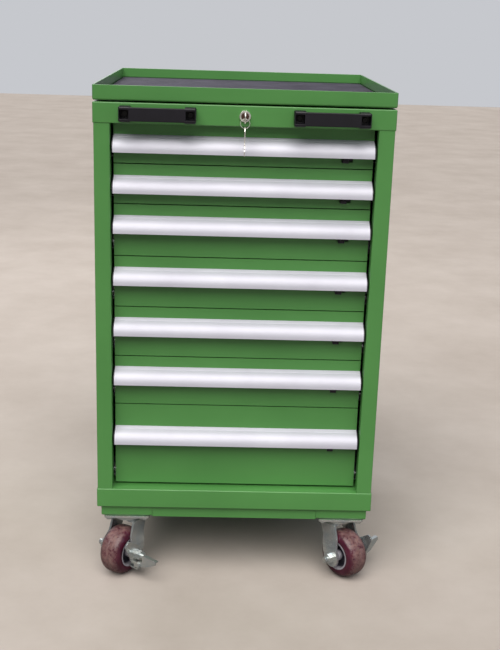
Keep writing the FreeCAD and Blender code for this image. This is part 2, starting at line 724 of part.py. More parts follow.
def caster_subframe():
    """Two runners joined by two cross members, all of them open upwards."""
    name = "caster_subframe"
    outer = HALF - s.frame_set
    inner = outer - s.runner_wide
    near, far = FRONT + s.frame_set, BACK - s.frame_set
    low, wall = s.caster_high, s.frame_steel
    whole, hollows = [], []
    for side, word, edge in ((-1, "left", "-x"), (1, "right", "+x")):
        across = (outer * side, inner * side)
        span = across if side < 0 else across[::-1]
        runner = box(f"{name}_{word}", span, (near, far), (low, base_low))
        whole.append(rounded(f"{name}_{word}_bends", runner, s.frame_bend, (edge, "-z"), ("-y", "-z")))
        hollows.append(box(f"{name}_{word}_in", (span[0] + wall, span[1] - wall),
                           (near + wall, far - wall), (low + wall, base_low + 1)))
    for word, start in (("front", near + s.cross_set), ("rear", far - s.cross_set - s.cross_deep)):
        end = start + s.cross_deep
        whole.append(box(f"{name}_{word}", (-inner, inner), (start, end), (low, base_low)))
        hollows.append(box(f"{name}_{word}_in", (-inner, inner), (start + wall, end - wall),
                           (low + wall, base_low + 1)))
        outside = (start - 1, start + s.seam_deep) if word == "front" else (end - s.seam_deep, end + 1)
        for side in (-1, 1):
            beside = ordered(side, inner - s.seam_wide, inner)
            hollows.append(box(f"{name}_{word}_seam_{side + 2}", beside, outside,
                               (low - 1, base_low + 1)))
    for count, (x, y) in enumerate(bolt_spots(), start=1):
        hollows.append(cylinder(f"{name}_hole_{count}", "z", (x, y, low - 1),
                                wall + 2, s.bolt_radius + s.hole_gap))
    node(name, cut(name, fuse(name + "_whole", *whole), *hollows))


def top_tray():
    """A shallow tray: sharp folded walls, a thick folded rim and four pressed feet."""
    name = "top_tray"
    block = box(name + "_block", (-HALF, HALF), (FRONT, BACK), (tray_low, tray_top))
    shell = rounded(name + "_bends", block, s.tray_bend, *AROUND, *BELOW)
    hollows = []
    rim_low = tray_top - s.hem_high
    for word, wall, low, high, pairs in (("in", s.steel, tray_floor, rim_low, AROUND + BELOW),
                                         ("rim", s.hem_thick, rim_low - 1, tray_top + 1, AROUND)):
        inner = box(f"{name}_{word}_block", (-HALF + wall, HALF - wall),
                    (FRONT + wall, BACK - wall), (low, high))
        inner_bend = s.tray_bend - wall
        hollows.append(rounded(f"{name}_{word}", inner, inner_bend, *pairs))
    feet = []
    for x in (-s.foot_reach, s.foot_reach):
        for y in (-s.foot_reach, s.foot_reach):
            count = len(feet) + 1
            feet.append(cylinder(f"{name}_foot_{count}", "z", (x, y, header_top),
                                 s.foot_high + s.steel, s.foot_radius))
            hollows.append(cylinder(f"{name}_dimple_{count}", "z", (x, y, header_top + s.steel),
                                    s.foot_high + 1, s.foot_radius - s.steel))
    node(name, cut(name, fuse(name + "_whole", shell, *feet), *hollows))


def tray_mat():
    """The rubber mat that lies in the tray."""
    name = "tray_mat"
    room = s.steel + s.mat_gap
    block = box(name + "_block", (-HALF + room, HALF - room), (FRONT + room, BACK - room),
                (tray_floor, tray_floor + s.mat_thick))
    doc.recompute()
    made = doc.addObject("Part::Chamfer", name)
    made.Base = block
    edges = edge_numbers(block.Shape, ON_TOP)
    made.Edges = [(number, s.mat_bevel.value, s.mat_bevel.value) for number in edges]
    node(name, made)


def slide_uprights():
    """Four channels behind the side panels, which carry the cabinet rails."""
    name = "slide_uprights"
    wall = s.upright_steel
    pieces = []
    for side in (-1, 1):
        for near in (FRONT + s.upright_front, BACK - s.upright_rear):
            count = len(pieces) + 1
            far = near + s.upright_deep
            span = (upright_in * side, side_in * side)
            hollow = ((upright_in + wall) * side, (side_in + 1) * side)
            if side < 0:
                span, hollow = span[::-1], hollow[::-1]
            top = header_low + s.upright_over
            block = box(f"{name}_{count}_block", span, (near, far), (opening_low, top))
            inner = box(f"{name}_{count}_in", hollow, (near + wall, far - wall),
                        (opening_low - 1, top + 1))
            pieces.append(cut(f"{name}_{count}", block, inner))
    node(name, group(name, *pieces))


# Rails


def ordered(side, near, far):
    """The span from near to far on one side of the middle, low end first."""
    return (near * side, far * side) if side > 0 else (far * side, near * side)


def roller(name, side, near, y, z):
    """A roller with its bore, between near and near plus its width."""
    start = ordered(side, near, near + s.roller_wide)[0]
    wheel = cylinder(name + "_wheel", "x", (start, y, z), s.roller_wide, s.roller_radius)
    bore = cylinder(name + "_bore", "x", (start - 1, y, z), s.roller_wide + 2,
                    s.stud_radius + s.rail_run)
    return cut(name, wheel, bore)


def stud(name, side, near, far, head, y, z):
    """A roller's stud from near to far, with its head from the distance head outwards."""
    shank_low = ordered(side, near, far)[0]
    head_low = ordered(side, head, head + s.stud_head_thick)[0]
    shank = cylinder(name + "_shank", "x", (shank_low, y, z), far - near, s.stud_radius)
    cap = cylinder(name + "_cap", "x", (head_low, y, z), s.stud_head_thick, s.stud_head)
    return fuse(name, shank, cap)


def cabinet_rail(name, side, drawer):
    """A channel on the uprights with a fixed roller near its front end."""
    edge = upright_in - s.rail_flange
    web = upright_in - s.rail_steel
    end = box_back + s.rail_over
    block = box(name + "_block", ordered(side, edge, upright_in), (rail_start, end),
                (drawer.rail_low, drawer.rail_top))
    hollow = box(name + "_in", ordered(side, edge - 1, web), (rail_start - 1, end + 1),
                 (drawer.rail_in, drawer.rail_top - s.rail_steel))
    near = web - s.roller_gap - s.roller_wide
    y = rail_start + s.roller_set
    tip = near - s.rail_run
    pin = stud(name + "_stud", side, tip, web, tip - s.stud_head_thick, y, drawer.roller_high)
    channel = fuse(name + "_channel", cut(name + "_section", block, hollow), pin)
    return [channel, roller(name + "_roller", side, near, y, drawer.roller_high)]


def cabinet_rails():
    name = "cabinet_rails"
    pieces = []
    for drawer in drawers:
        for side, word in ((-1, "left"), (1, "right")):
            pieces += cabinet_rail(f"{name}_{drawer.name}_{word}", side, drawer)
    node(name, group(name, *pieces))


def drawer_rails(drawer):
    """The two rails of a drawer: web, tongue over the fixed roller, and a roller at the back."""
    name = drawer.name + "_rails"
    web = box_half + s.rail_steel
    tip = web + s.tongue_wide
    end = box_back - s.rail_less
    y = end - s.roller_set
    near = web + s.drawer_roller_gap
    far = near + s.roller_wide + s.rail_run
    top = drawer.tongue_low + s.tongue_thick
    pieces = []
    for side, word in ((-1, "left"), (1, "right")):
        part = f"{name}_{word}"
        strip = box(part + "_web", ordered(side, box_half, web), (rail_start, end),
                    (drawer.rail_in, top))
        tongue = box(part + "_tongue", ordered(side, box_half, tip), (rail_start, end),
                     (drawer.tongue_low, top))
        pin = stud(part + "_stud", side, web, far, far, y, drawer.roller_high)
        pieces.append(fuse(part, strip, tongue, pin))
        pieces.append(roller(part + "_roller", side, near, y, drawer.roller_high))
    node(name, group(name, *pieces))


# Drawers


def drawer_shell(drawer):
    """A drawer: the folded front pan, the open box behind it and the catch at its back."""
    name = drawer.name + "_shell"
    wall = s.drawer_steel
    low, top = drawer.front_low, drawer.front_top
    pan = box(name + "_pan", (-pan_half, pan_half), (pan_front, box_front), (low, top))
    pan_in = box(name + "_pan_in", (-pan_half + wall, pan_half - wall),
                 (pan_front + wall, box_front - wall), (low + wall, top - wall))
    rim = s.pan_lip
    rear = box(name + "_pan_rear", (-pan_half + rim, pan_half - rim),
               (box_front - wall - 1, box_front), (low + rim, top - rim))
    crate = box(name + "_box", (-box_half, box_half), (box_front, box_back),
                (drawer.box_low, drawer.box_top))
    crate_in = box(name + "_box_in", (-box_half + wall, box_half - wall),
                   (box_front + wall, box_back - wall), (drawer.box_low + wall, drawer.box_top + 1))
    brim = s.box_flange
    flange = box(name + "_flange", (-box_half - brim, box_half + brim),
                 (box_front, box_back + brim), (drawer.box_top - wall, drawer.box_top))
    half = s.catch_wide / 2
    lip_back = box_back + s.catch_reach
    shelf = box(name + "_shelf", (s.bar_spot - half, s.bar_spot + half), (box_back, lip_back),
                (drawer.box_top - wall, drawer.box_top))
    lip = box(name + "_lip", (s.bar_spot - half, s.bar_spot + half),
              (lip_back - s.catch_thick, lip_back), (drawer.box_top - catch_high, drawer.box_top))
    latch_low = drawer.grip_top - s.latch_top - s.latch_high
    latch_high = drawer.grip_top - s.latch_top
    run, less = s.latch_run, s.latch_bar_less
    window_end = s.latch_spot + s.latch_tab + s.latch_stroke + run * 2
    window = box(name + "_window", (s.latch_spot - run * 2, window_end),
                 (pan_front - 1, pan_front + wall + run), (latch_low - run * 2, latch_high + run * 2))
    bar_span = (latch_low + less - run * 2, latch_high - less + run * 2)
    bar_back_y = pan_front + wall + run * 2 + s.latch_bar
    side_window = box(name + "_side_window", (pan_half - wall - 1, pan_half + 1),
                      (pan_front + wall, bar_back_y + run), bar_span)
    keeper = box(name + "_keeper", (s.keeper_spot, s.keeper_spot + s.keeper_wide),
                 (pan_front + wall, bar_back_y + s.keeper_thick),
                 (bar_span[0] - s.keeper_thick, bar_span[1] + s.keeper_thick))
    keeper_in = box(name + "_keeper_in", (s.keeper_spot - 1, s.keeper_spot + s.keeper_wide + 1),
                    (pan_front + wall, bar_back_y), bar_span)
    front = fuse(name + "_front", cut(name + "_tray", pan, pan_in, rear),
                 cut(name + "_bridge", keeper, keeper_in))
    open_front = cut(name + "_open_front", front, window, side_window)
    body = fuse(name + "_walls", crate, flange)
    open_box = cut(name + "_open_box", body, crate_in)
    node(name, fuse(name, open_front, open_box, shelf, lip))


def drawer_handle(drawer):
    """The grip: an extrusion with a slanted band, a round face and a lip, open below."""
    name = drawer.name + "_handle"
    half = pan_half - s.grip_short
    top = drawer.grip_top
    slope = s.band_drop / s.band_deep
    upright_wall = s.grip_wall * slant(s.band_deep, s.band_drop) / s.band_deep

    def band(behind):
        """The band's height at this distance in front of the drawer front."""
        return top - behind * slope

    def inside(behind):
        return band(behind) - upright_wall

    middle = s.band_deep / 2
    groove = s.band_groove
    face_top = s.band_deep
    inner_top = s.band_deep - s.grip_wall / 2
    wall = s.grip_wall
    points = [
        (pan_front, top),
        (pan_front - middle + groove / 2, band(middle - groove / 2)),
        (pan_front - middle, band(middle) - groove),
        (pan_front - middle - groove / 2, band(middle + groove / 2)),
        (pan_front - face_top, band(face_top), -s.face_radius),
        (FRONT, top - s.face_drop),
        (FRONT, top - s.grip_high),
        (FRONT + wall, top - s.grip_high),
        (FRONT + wall, top - s.face_drop, s.face_radius - wall),
        (pan_front - inner_top, inside(inner_top)),
        (pan_front - wall, inside(wall)),
        (pan_front - wall, top - s.grip_web),
        (pan_front, top - s.grip_web)]
    node(name, extruded(name, "x", (-half, half), points))


def drawer_latch(drawer):
    """The slide latch: a thumb tab under the grip and a flat bar behind the front sheet."""
    name = drawer.name + "_latch"
    low = drawer.grip_top - s.latch_top - s.latch_high
    high = drawer.grip_top - s.latch_top
    start = pan_front + s.drawer_steel + s.latch_run
    end = pan_half - s.grip_short
    tab = box(name + "_tab", (s.latch_spot, s.latch_spot + s.latch_tab),
              (FRONT + s.latch_front, start), (low, high))
    soft_tab = rounded(name + "_soft_tab", tab, s.latch_bar, ("-y", "-x"), ("-y", "+x"), ("-y", "-z"))
    bar = box(name + "_bar", (s.latch_spot, end), (start, start + s.latch_bar),
              (low + s.latch_bar_less, high - s.latch_bar_less))
    node(name, fuse(name, soft_tab, bar))


# Header: pull handles and lock


def pull_handles():
    """Two moulded handles: end pads with square pockets, and a flat grip in front."""
    name = "pull_handles"
    low, high = lock_high - s.pull_high / 2, lock_high + s.pull_high / 2
    front = FRONT - s.pull_deep
    pieces = []
    for side, word in ((-1, "left"), (1, "right")):
        part = f"{name}_{word}"
        middle = s.pull_spot * side
        left, right = middle - s.pull_long / 2, middle + s.pull_long / 2
        block = box(part + "_block", (left, right), (front, FRONT), (low, high))
        soft = rounded(part + "_soft", block, s.pull_round, ("-x", "-y"), ("+x", "-y"),
                       ("-y", "+z"), ("-y", "-z"), ("-x", "+z"), ("+x", "+z"),
                       ("-x", "-z"), ("+x", "-z"))
        between = (left + s.pull_pad, right - s.pull_pad)
        tools = [box(part + "_gap", between, (front + s.pull_grip, FRONT + 1), (low - 1, high + 1)),
                 box(part + "_over", between, (front - 1, FRONT + 1),
                     (high - s.pull_grip_less, high + 1)),
                 box(part + "_under", between, (front - 1, FRONT + 1),
                     (low - 1, low + s.pull_grip_less))]
        for end, centre in (("a", left + s.pull_pad / 2), ("b", right - s.pull_pad / 2)):
            half = s.pull_pocket / 2
            tools.append(box(f"{part}_pocket_{end}", (centre - half, centre + half),
                             (front - 1, FRONT - s.pull_floor), (lock_high - half, lock_high + half)))
            tools.append(cylinder(f"{part}_hole_{end}", "y", (centre, FRONT - s.pull_floor - 1,
                                                             lock_high),
                                  s.pull_floor + 2, s.screw_radius + s.hole_gap))
        pieces.append(cut(part, soft, *tools))
    node(name, group(name, *pieces))


def lock_housing():
    """The lock's collar and barrel, and the nut that clamps it behind the sheet."""
    name = "lock_housing"
    bore = s.plug_radius + s.plug_run
    front = FRONT - s.collar_thick
    collar = cylinder(name + "_collar", "y", (0, front, lock_high), s.collar_thick, s.collar_radius)
    barrel = cylinder(name + "_barrel", "y", (0, FRONT, lock_high), s.barrel_long, s.barrel_radius)
    hole = cylinder(name + "_bore", "y", (0, front - 1, lock_high),
                    s.collar_thick + s.barrel_long + 2, bore)
    disc = cylinder(name + "_disc", "y", (0, FRONT + s.steel, lock_high),
                    s.lock_nut_thick, s.lock_nut_radius)
    thread = cylinder(name + "_thread", "y", (0, FRONT, lock_high),
                      s.lock_nut_thick + s.steel + 1, s.barrel_radius)
    node(name, group(name, cut(name + "_sleeve", fuse(name + "_whole", collar, barrel), hole),
                     cut(name + "_nut", disc, thread)))


def lock_plug():
    name = "lock_plug"
    front = FRONT - s.collar_thick - s.plug_proud
    long = s.barrel_long + s.collar_thick + s.plug_proud
    core = cylinder(name + "_core", "y", (0, front, lock_high), long, s.plug_radius)
    keyway = box(name + "_keyway", (-s.keyway_wide / 2, s.keyway_wide / 2),
                 (front - 1, front + s.keyway_deep),
                 (lock_high - s.keyway_high / 2, lock_high + s.keyway_high / 2))
    node(name, cut(name, core, keyway))


def lock_rod():
    """The rod from the plug to the back, with the crank that lifts the locking bar."""
    name = "lock_rod"
    start = FRONT + s.barrel_long
    arm_end = bar_front - s.crank_lead
    arm_start = arm_end - s.crank_thick
    pin_x = s.crank_radius * cosine(s.crank_angle)
    pin_z = lock_high - s.crank_radius * sine(s.crank_angle)
    rod = cylinder(name + "_rod", "y", (0, start, lock_high), arm_end - start, s.rod_radius)
    disc = cylinder(name + "_disc", "y", (pin_x, arm_start, pin_z), s.crank_thick, s.rod_radius)
    pin = cylinder(name + "_pin", "y", (pin_x, arm_start, pin_z),
                   bar_back + s.pin_radius - arm_start, s.pin_radius)
    web = box(name + "_web", (0, s.crank_radius), (0, s.crank_thick),
              (-s.pin_radius, s.pin_radius))
    place(web, -s.pin_radius * sine(s.crank_angle), arm_start,
          lock_high - s.pin_radius * cosine(s.crank_angle))
    turn(web, s.crank_angle, Vector(0, 1, 0))
    node(name, fuse(name, rod, disc, pin, web))


def lock_key():
    """The key: a round bow with a hole, and the blade inside the keyway."""
    name = "lock_key"
    thick = s.key_thick
    bow = cylinder(name + "_bow", "x", (-thick / 2, FRONT - s.bow_spot, lock_high),
                   thick, s.bow_radius)
    blade = box(name + "_blade", (-thick / 2, thick / 2),
                (FRONT - s.bow_spot, FRONT - s.collar_thick - s.plug_proud + s.key_deep),
                (lock_high - s.key_blade / 2, lock_high + s.key_blade / 2))
    hole = cylinder(name + "_hole", "x", (-thick, FRONT - s.bow_spot, lock_high),
                    thick * 2, s.bow_hole)
    node(name, cut(name, fuse(name + "_whole", bow, blade), hole))


def key_ring():
    """A wire ring through the bow's hole, hanging straight down."""
    name = "key_ring"
    made = doc.addObject("Part::Torus", name)
    made.Placement.Rotation = FreeCAD.Rotation(*AXIS_TURN["y"])
    bind(made, "Radius1", s.ring_radius)
    bind(made, "Radius2", s.ring_wire)
    top = lock_high - s.bow_hole + s.ring_gap + s.ring_wire
    node(name, place(made, 0, FRONT - s.bow_spot, top - s.ring_radius))


def locking_bar():
    """The lifting bar: a flat strip with a slot for the crank pin and a nose for each drawer."""
    name = "locking_bar"
    pin_z = lock_high - s.crank_radius * sine(s.crank_angle)
    reach = s.pin_radius + s.slot_gap
    strip = box(name + "_strip", (bar_left, bar_right), (bar_front, bar_back),
                (s.bar_low, pin_z + reach + s.slot_rim))
    slot = box(name + "_slot", (s.crank_radius * cosine(s.crank_angle) - reach,
                                s.crank_radius + reach),
               (bar_front - 1, bar_back + 1), (pin_z - reach, pin_z + reach))
    pieces = [cut(name + "_plate", strip, slot)]
    half = s.nose_wide / 2
    across = (s.bar_spot - half, s.bar_spot + half)
    for drawer in drawers:
        top = drawer.nose_top
        foot = top - s.nose_high
        pieces.append(box(f"{name}_{drawer.name}_arm", across, (nose_back - s.nose_thick, bar_front),
                          (foot, foot + s.bar_thick)))
        pieces.append(box(f"{name}_{drawer.name}_nose", across,
                          (nose_back - s.nose_thick, nose_back), (foot, top)))
    node(name, fuse(name, *pieces))


def fasteners():
    """Handle screws and caster bolts, each with its nut."""
    name = "fasteners"
    pieces = []
    floor = FRONT - s.pull_floor
    for count, x in enumerate(pull_spots(), start=1):
        part = f"{name}_screw_{count}"
        head = cylinder(part + "_head", "y", (x, floor - s.screw_head_thick, lock_high),
                        s.screw_head_thick, s.screw_head)
        shank = cylinder(part + "_shank", "y", (x, floor, lock_high), s.screw_long, s.screw_radius)
        nut = hexagon(part + "_nut", "y", (x, FRONT + s.steel, lock_high),
                      s.screw_nut_thick, s.screw_nut)
        pieces.append(fuse(part, head, shank, nut))
    low = s.caster_high - s.plate_thick
    seat = s.caster_high + s.frame_steel
    for count, (x, y) in enumerate(bolt_spots(), start=1):
        part = f"{name}_bolt_{count}"
        head = hexagon(part + "_head", "z", (x, y, low - s.bolt_head_thick),
                       s.bolt_head_thick, s.bolt_corner)
        nut = hexagon(part + "_nut", "z", (x, y, seat), s.bolt_nut_thick, s.bolt_corner)
        shank = cylinder(part + "_shank", "z", (x, y, low),
                         seat + s.bolt_nut_thick + s.bolt_end - low, s.bolt_radius)
        pieces.append(fuse(part, head, nut, shank))
    node(name, group(name, *pieces))


# Casters: each is drawn with its kingpin at the origin, its trail along -Y and its axle along X


def plate(name):
    """A caster plate with its four bolt holes."""
    low = s.caster_high - s.plate_thick
    half_wide, half_deep = s.plate_wide / 2, s.plate_deep / 2
    slab = box(name + "_slab", (-half_wide, half_wide), (-half_deep, half_deep),
               (low, s.caster_high))
    soft = rounded(name + "_soft", slab, s.fork_bend, *AROUND)
    holes = []
    for across in (-1, 1):
        for along in (-1, 1):
            holes.append(cylinder(f"{name}_hole_{len(holes) + 1}", "z",
                                  (s.bolt_wide / 2 * across, s.bolt_deep / 2 * along, low - 1),
                                  s.plate_thick + 2, s.bolt_radius + s.hole_gap))
    return cut(name + "_plate", soft, *holes)


plate_low = s.caster_high - s.plate_thick
crown_top = plate_low - s.race_high - s.race_run - s.race_low_high


def front_caster_plates():
    """The fixed top of each swivel caster: plate, upper race and kingpin."""
    name = "front_caster_plates"
    pieces = []
    for word, (x, y) in zip(("left", "right"), caster_spots()):
        part = f"{name}_{word}"
        race = cylinder(part + "_race", "z", (0, 0, plate_low - s.race_high),
                        s.race_high, s.race_radius)
        head_top = crown_top - s.fork_steel - s.race_run
        head = cylinder(part + "_head", "z", (0, 0, head_top - s.kingpin_head_thick),
                        s.kingpin_head_thick, s.kingpin_head)
        pin = cylinder(part + "_pin", "z", (0, 0, head_top), plate_low - head_top, s.kingpin_radius)
        pieces.append(place(fuse(part, plate(part), race, head, pin), x, y, 0))
    node(name, group(name, *pieces))


def fork_section(name, top, deep):
    """The U of a fork, seen along the trail: crown, waist, flare and straight feet."""
    wall, bend = s.fork_steel, s.fork_bend
    low = s.wheel_radius - s.leg_round
    foot_high = s.wheel_radius + s.spacer_radius + s.axle_run
    inner_bend = bend - wall

    def side(sign):
        """Outer and inner points of one leg, from the crown down."""
        outer = [(s.fork_top * sign, top - bend), (s.fork_waist * sign, s.waist_high),
                 (s.fork_flare * sign, s.flare_high), (s.fork_foot * sign, foot_high),
                 (s.fork_foot * sign, low)]
        inner = [((s.fork_foot - wall) * sign, low), ((s.fork_foot - wall) * sign, foot_high),
                 ((s.fork_flare - wall) * sign, s.flare_high),
                 ((s.fork_waist - wall) * sign, s.waist_high),
                 ((s.fork_top - wall) * sign, top - wall - inner_bend)]
        return outer, inner

    right_outer, right_inner = side(1)
    left_outer, left_inner = side(-1)
    right_inner[-1] = right_inner[-1] + (-inner_bend,)
    left_outer[0] = left_outer[0] + (bend,)
    points = [(s.fork_top - bend, top, bend)] + right_outer + right_inner
    points += [(s.fork_top - wall - inner_bend, top - wall)]
    points += [(-s.fork_top + wall + inner_bend, top - wall, -inner_bend)]
    points += left_inner[::-1] + left_outer[::-1] + [(-s.fork_top + bend, top)]
    return extruded(name, "y", (-deep, deep), points)


def leg_side(name, top, trail, front, rear):
    """The side view of the legs: wide at the crown, round about the axle."""
    end = s.leg_round
    high = s.wheel_radius
    points = [(rear, top + 1), (-front, top + 1), (-trail - end, high, -end),
              (-trail, high - end, -end), (-trail + end, high)]
    return extruded(name, "x", (-s.fork_foot - 1, s.fork_foot + 1), points)


def axle_holes(name, trail):
    reach = s.fork_foot + 1
    return cylinder(name, "x", (-reach, -trail, s.wheel_radius), reach * 2, s.axle_radius)


def axle(name, trail, nut_seat):
    """The axle: a rod with a nut at both ends, and spacers beside the hub."""
    y, z = -trail, s.wheel_radius
    foot, wall = s.fork_foot, s.fork_steel
    boss = s.wheel_wide / 2 + s.boss_proud + s.axle_run
    left = -foot - s.nut_thick
    long = nut_seat + s.nut_thick - left + s.axle_end * 2
    pieces = [
        cylinder(name + "_rod", "x", (left - s.axle_end, y, z), long, s.axle_radius),
        hexagon(name + "_inner_nut", "x", (left, y, z), s.nut_thick, s.nut_corner),
        hexagon(name + "_outer_nut", "x", (nut_seat, y, z), s.nut_thick, s.nut_corner)]
    for word, start in (("left", -foot + wall), ("right", boss)):
        pieces.append(cylinder(f"{name}_{word}_spacer", "x", (start, y, z), foot - wall - boss,
                               s.spacer_radius))
    return fuse(name, *pieces)


def brake_bracket(name):
    """The plate under the axle nut, with two ears and the pin of the brake pedal."""
    inner, outer = s.fork_foot, s.fork_foot + s.brake_steel
    high = s.wheel_radius - s.pedal_low
    slab = extruded(name + "_slab", "x", (inner, outer), [
        (-s.brake_rear, s.brake_low), (-s.brake_rear, s.shoulder_high),
        (-s.brake_front + s.brake_round, s.brake_top, -s.brake_round),
        (-s.brake_front, s.brake_top - s.brake_round), (-s.brake_neck, s.neck_high),
        (-s.brake_toe, s.toe_high), (-s.trail, s.brake_low)])
    hole = cylinder(name + "_hole", "x", (inner - 1, -s.trail, s.wheel_radius),
                    s.brake_steel + 2, s.axle_radius)
    pieces = [cut(name + "_plate", slab, hole)]
    half = s.ear_wide / 2
    for word, start in (("front", -s.trail - half - s.ear_thick), ("rear", -s.trail + half)):
        strip = box(f"{name}_{word}_strip", (outer, s.pedal_spot), (start, start + s.ear_thick),
                    (high - s.ear_round, high + s.ear_round))
        end = cylinder(f"{name}_{word}_end", "y", (s.pedal_spot, start, high), s.ear_thick,
                       s.ear_round)
        pieces += [strip, end]
    pieces.append(cylinder(name + "_pin", "y", (s.pedal_spot, -s.trail - half - s.ear_thick, high),
                           s.ear_wide + s.ear_thick * 2, s.pedal_pin))
    return fuse(name, *pieces)


def front_fork(word, spot, angle):
    """A swivel caster's fork with its lower race, axle and brake bracket."""
    name = f"front_{word}_fork"
    section = fork_section(name + "_section", crown_top, s.fork_foot * 2)
    sides = leg_side(name + "_sides", crown_top, s.trail, s.leg_front, s.leg_rear)
    race = cylinder(name + "_race", "z", (0, 0, crown_top), s.race_low_high, s.race_radius)
    bore = cylinder(name + "_bore", "z", (0, 0, crown_top - s.fork_steel - 1),
                    s.fork_steel + s.race_low_high + 2, s.kingpin_radius + s.race_run)
    legs = fuse(name + "_legs", common(name + "_stamped", section, sides), race)
    frame = cut(name + "_frame", legs, bore, axle_holes(name + "_axle_holes", s.trail))
    seat = s.fork_foot + s.brake_steel
    made = group(name, frame, axle(name + "_axle", s.trail, seat), brake_bracket(name + "_brake"))
    node(name, turn(place(made, *spot, 0), angle))


def rear_caster_forks():
    """The two rigid casters' forks, each with its plate and axle."""
    name = "rear_caster_forks"
    pieces = []
    for word, spot in zip(("left", "right"), caster_spots()[2:]):
        part = f"{name}_{word}"
        section = fork_section(part + "_section", plate_low, s.fork_foot * 2)
        sides = leg_side(part + "_sides", plate_low, as_size(0), s.rigid_leg, s.rigid_leg)
        legs = cut(part + "_legs", common(part + "_stamped", section, sides),
                   axle_holes(part + "_axle_holes", as_size(0)))
        whole = fuse(part + "_whole", legs, plate(part))
        pieces.append(place(whole, *spot, 0))
        pieces.append(place(axle(part + "_axle", as_size(0), s.fork_foot), *spot, 0))
    node(name, group(name, *pieces))


def wheel(word, spot, angle, trail):
    """A wheel: the hub with its rim, web and boss, and the round tread on it."""
    half = s.wheel_wide / 2
    flat = s.tread_flat / 2
    tread = spun(f"{word}_tread", -trail, s.wheel_radius, [
        (-half, s.hub_radius), (-half, s.tread_side, s.tread_round), (-flat, s.wheel_radius),
        (flat, s.wheel_radius, s.tread_round), (half, s.tread_side), (half, s.hub_radius)])
    web, boss = s.web_thick / 2, half + s.boss_proud
    bore = s.axle_radius + s.axle_run
    hub = spun(f"{word}_hub", -trail, s.wheel_radius, [
        (-half, s.hub_radius), (half, s.hub_radius), (half, s.rim_inner), (web, s.web_outer),
        (web, s.boss_radius), (boss, s.boss_radius), (boss, bore), (-boss, bore),
        (-boss, s.boss_radius), (-web, s.boss_radius), (-web, s.web_outer), (-half, s.rim_inner)])
    for made in (tread, hub):
        node(made.Name, turn(place(made, *spot, 0), angle))


def pedal(word, spot, angle, tilt):
    """A brake pedal on its pin: a cheek with a tread on top, and an arm with a finger below."""
    name = f"front_{word}_pedal"
    half = s.ear_wide / 2 - s.pedal_run
    near, thick = -half, s.pedal_thick
    barrel = cylinder(name + "_barrel", "y", (0, near, 0), half * 2, s.pedal_barrel)
    cheek = extruded(name + "_cheek", "y", (near, near + thick), [
        (-s.pedal_barrel, 0), (0, -s.pedal_barrel), (s.pedal_knee, s.knee_high),
        (s.pedal_long, s.pedal_high - s.pedal_tip), (s.pedal_long, s.pedal_high),
        (s.pedal_neck, s.pedal_high), (s.pedal_neck, s.neck_low)])
    pad = box(name + "_pad", (s.pad_start, s.pedal_long), (near, near + s.pad_wide),
              (s.pedal_high - thick, s.pedal_high))
    arm = box(name + "_arm", (-thick / 2, thick / 2), (near, near + s.finger_wide), (-s.arm_low, 0))
    finger = box(name + "_finger", (s.finger_tip - s.pedal_spot, thick / 2),
                 (near, near + s.finger_wide), (-s.arm_low, -s.arm_low + s.finger_thick))
    bore = cylinder(name + "_bore", "y", (0, near - 1, 0), half * 2 + 2,
                    s.pedal_pin + s.pedal_run)
    whole = cut(name + "_whole", fuse(name + "_parts", barrel, cheek, pad, arm, finger), bore)
    tilted = turn(whole, -tilt, Vector(0, 1, 0))
    pinned = place(group(name + "_tilted", tilted), s.pedal_spot, -s.trail,
                   s.wheel_radius - s.pedal_low)
    node(name, turn(place(group(name, pinned), *spot, 0), angle))


def write_parts():
    """Checks every object and writes each node's shape."""
    doc.recompute()
    for made in doc.Objects:
        if "Invalid" in made.State or "Error" in made.State:
            raise RuntimeError(f"{made.Label} failed: {made.State}")
    for name, made in nodes.items():
        if made.Shape.isNull() or not made.Shape.isValid() or not made.Shape.Solids:
            raise RuntimeError(f"{name} has no valid shape")
    os.makedirs("parts", exist_ok=True)
    for name, made in nodes.items():
        made.Shape.exportStep(f"parts/{name}.step")
        print(f"{name}: {len(made.Shape.Solids)} solids, {made.Shape.Volume / 1000:.1f} cm3")


side_panel("side_panel_left", -1)
side_panel("side_panel_right", 1)
back_panel()
top_cover()
base_pan()
caster_subframe()
top_tray()
tray_mat()
slide_uprights()
cabinet_rails()
for drawer in drawers:
    drawer_shell(drawer)
    drawer_handle(drawer)
    drawer_rails(drawer)
    drawer_latch(drawer)
pull_handles()
lock_housing()
lock_plug()
lock_rod()
lock_key()
key_ring()
locking_bar()
fasteners()
front_caster_plates()
rear_caster_forks()
spots = caster_spots()
for word, spot, angle, tilt in (("left", spots[0], s.left_turn, s.left_tilt),
                                ("right", spots[1], s.right_turn, s.right_tilt)):
    front_fork(word, spot, angle)
    wheel(f"front_{word}", spot, angle, s.trail)
    pedal(word, spot, angle, tilt)
for word, spot in zip(("left", "right"), spots[2:]):
    wheel(f"rear_{word}", spot, as_size(0), as_size(0))
write_parts()
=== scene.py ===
import json
import math

import bmesh
import bpy
import numpy as np
from mathutils import Matrix, Vector


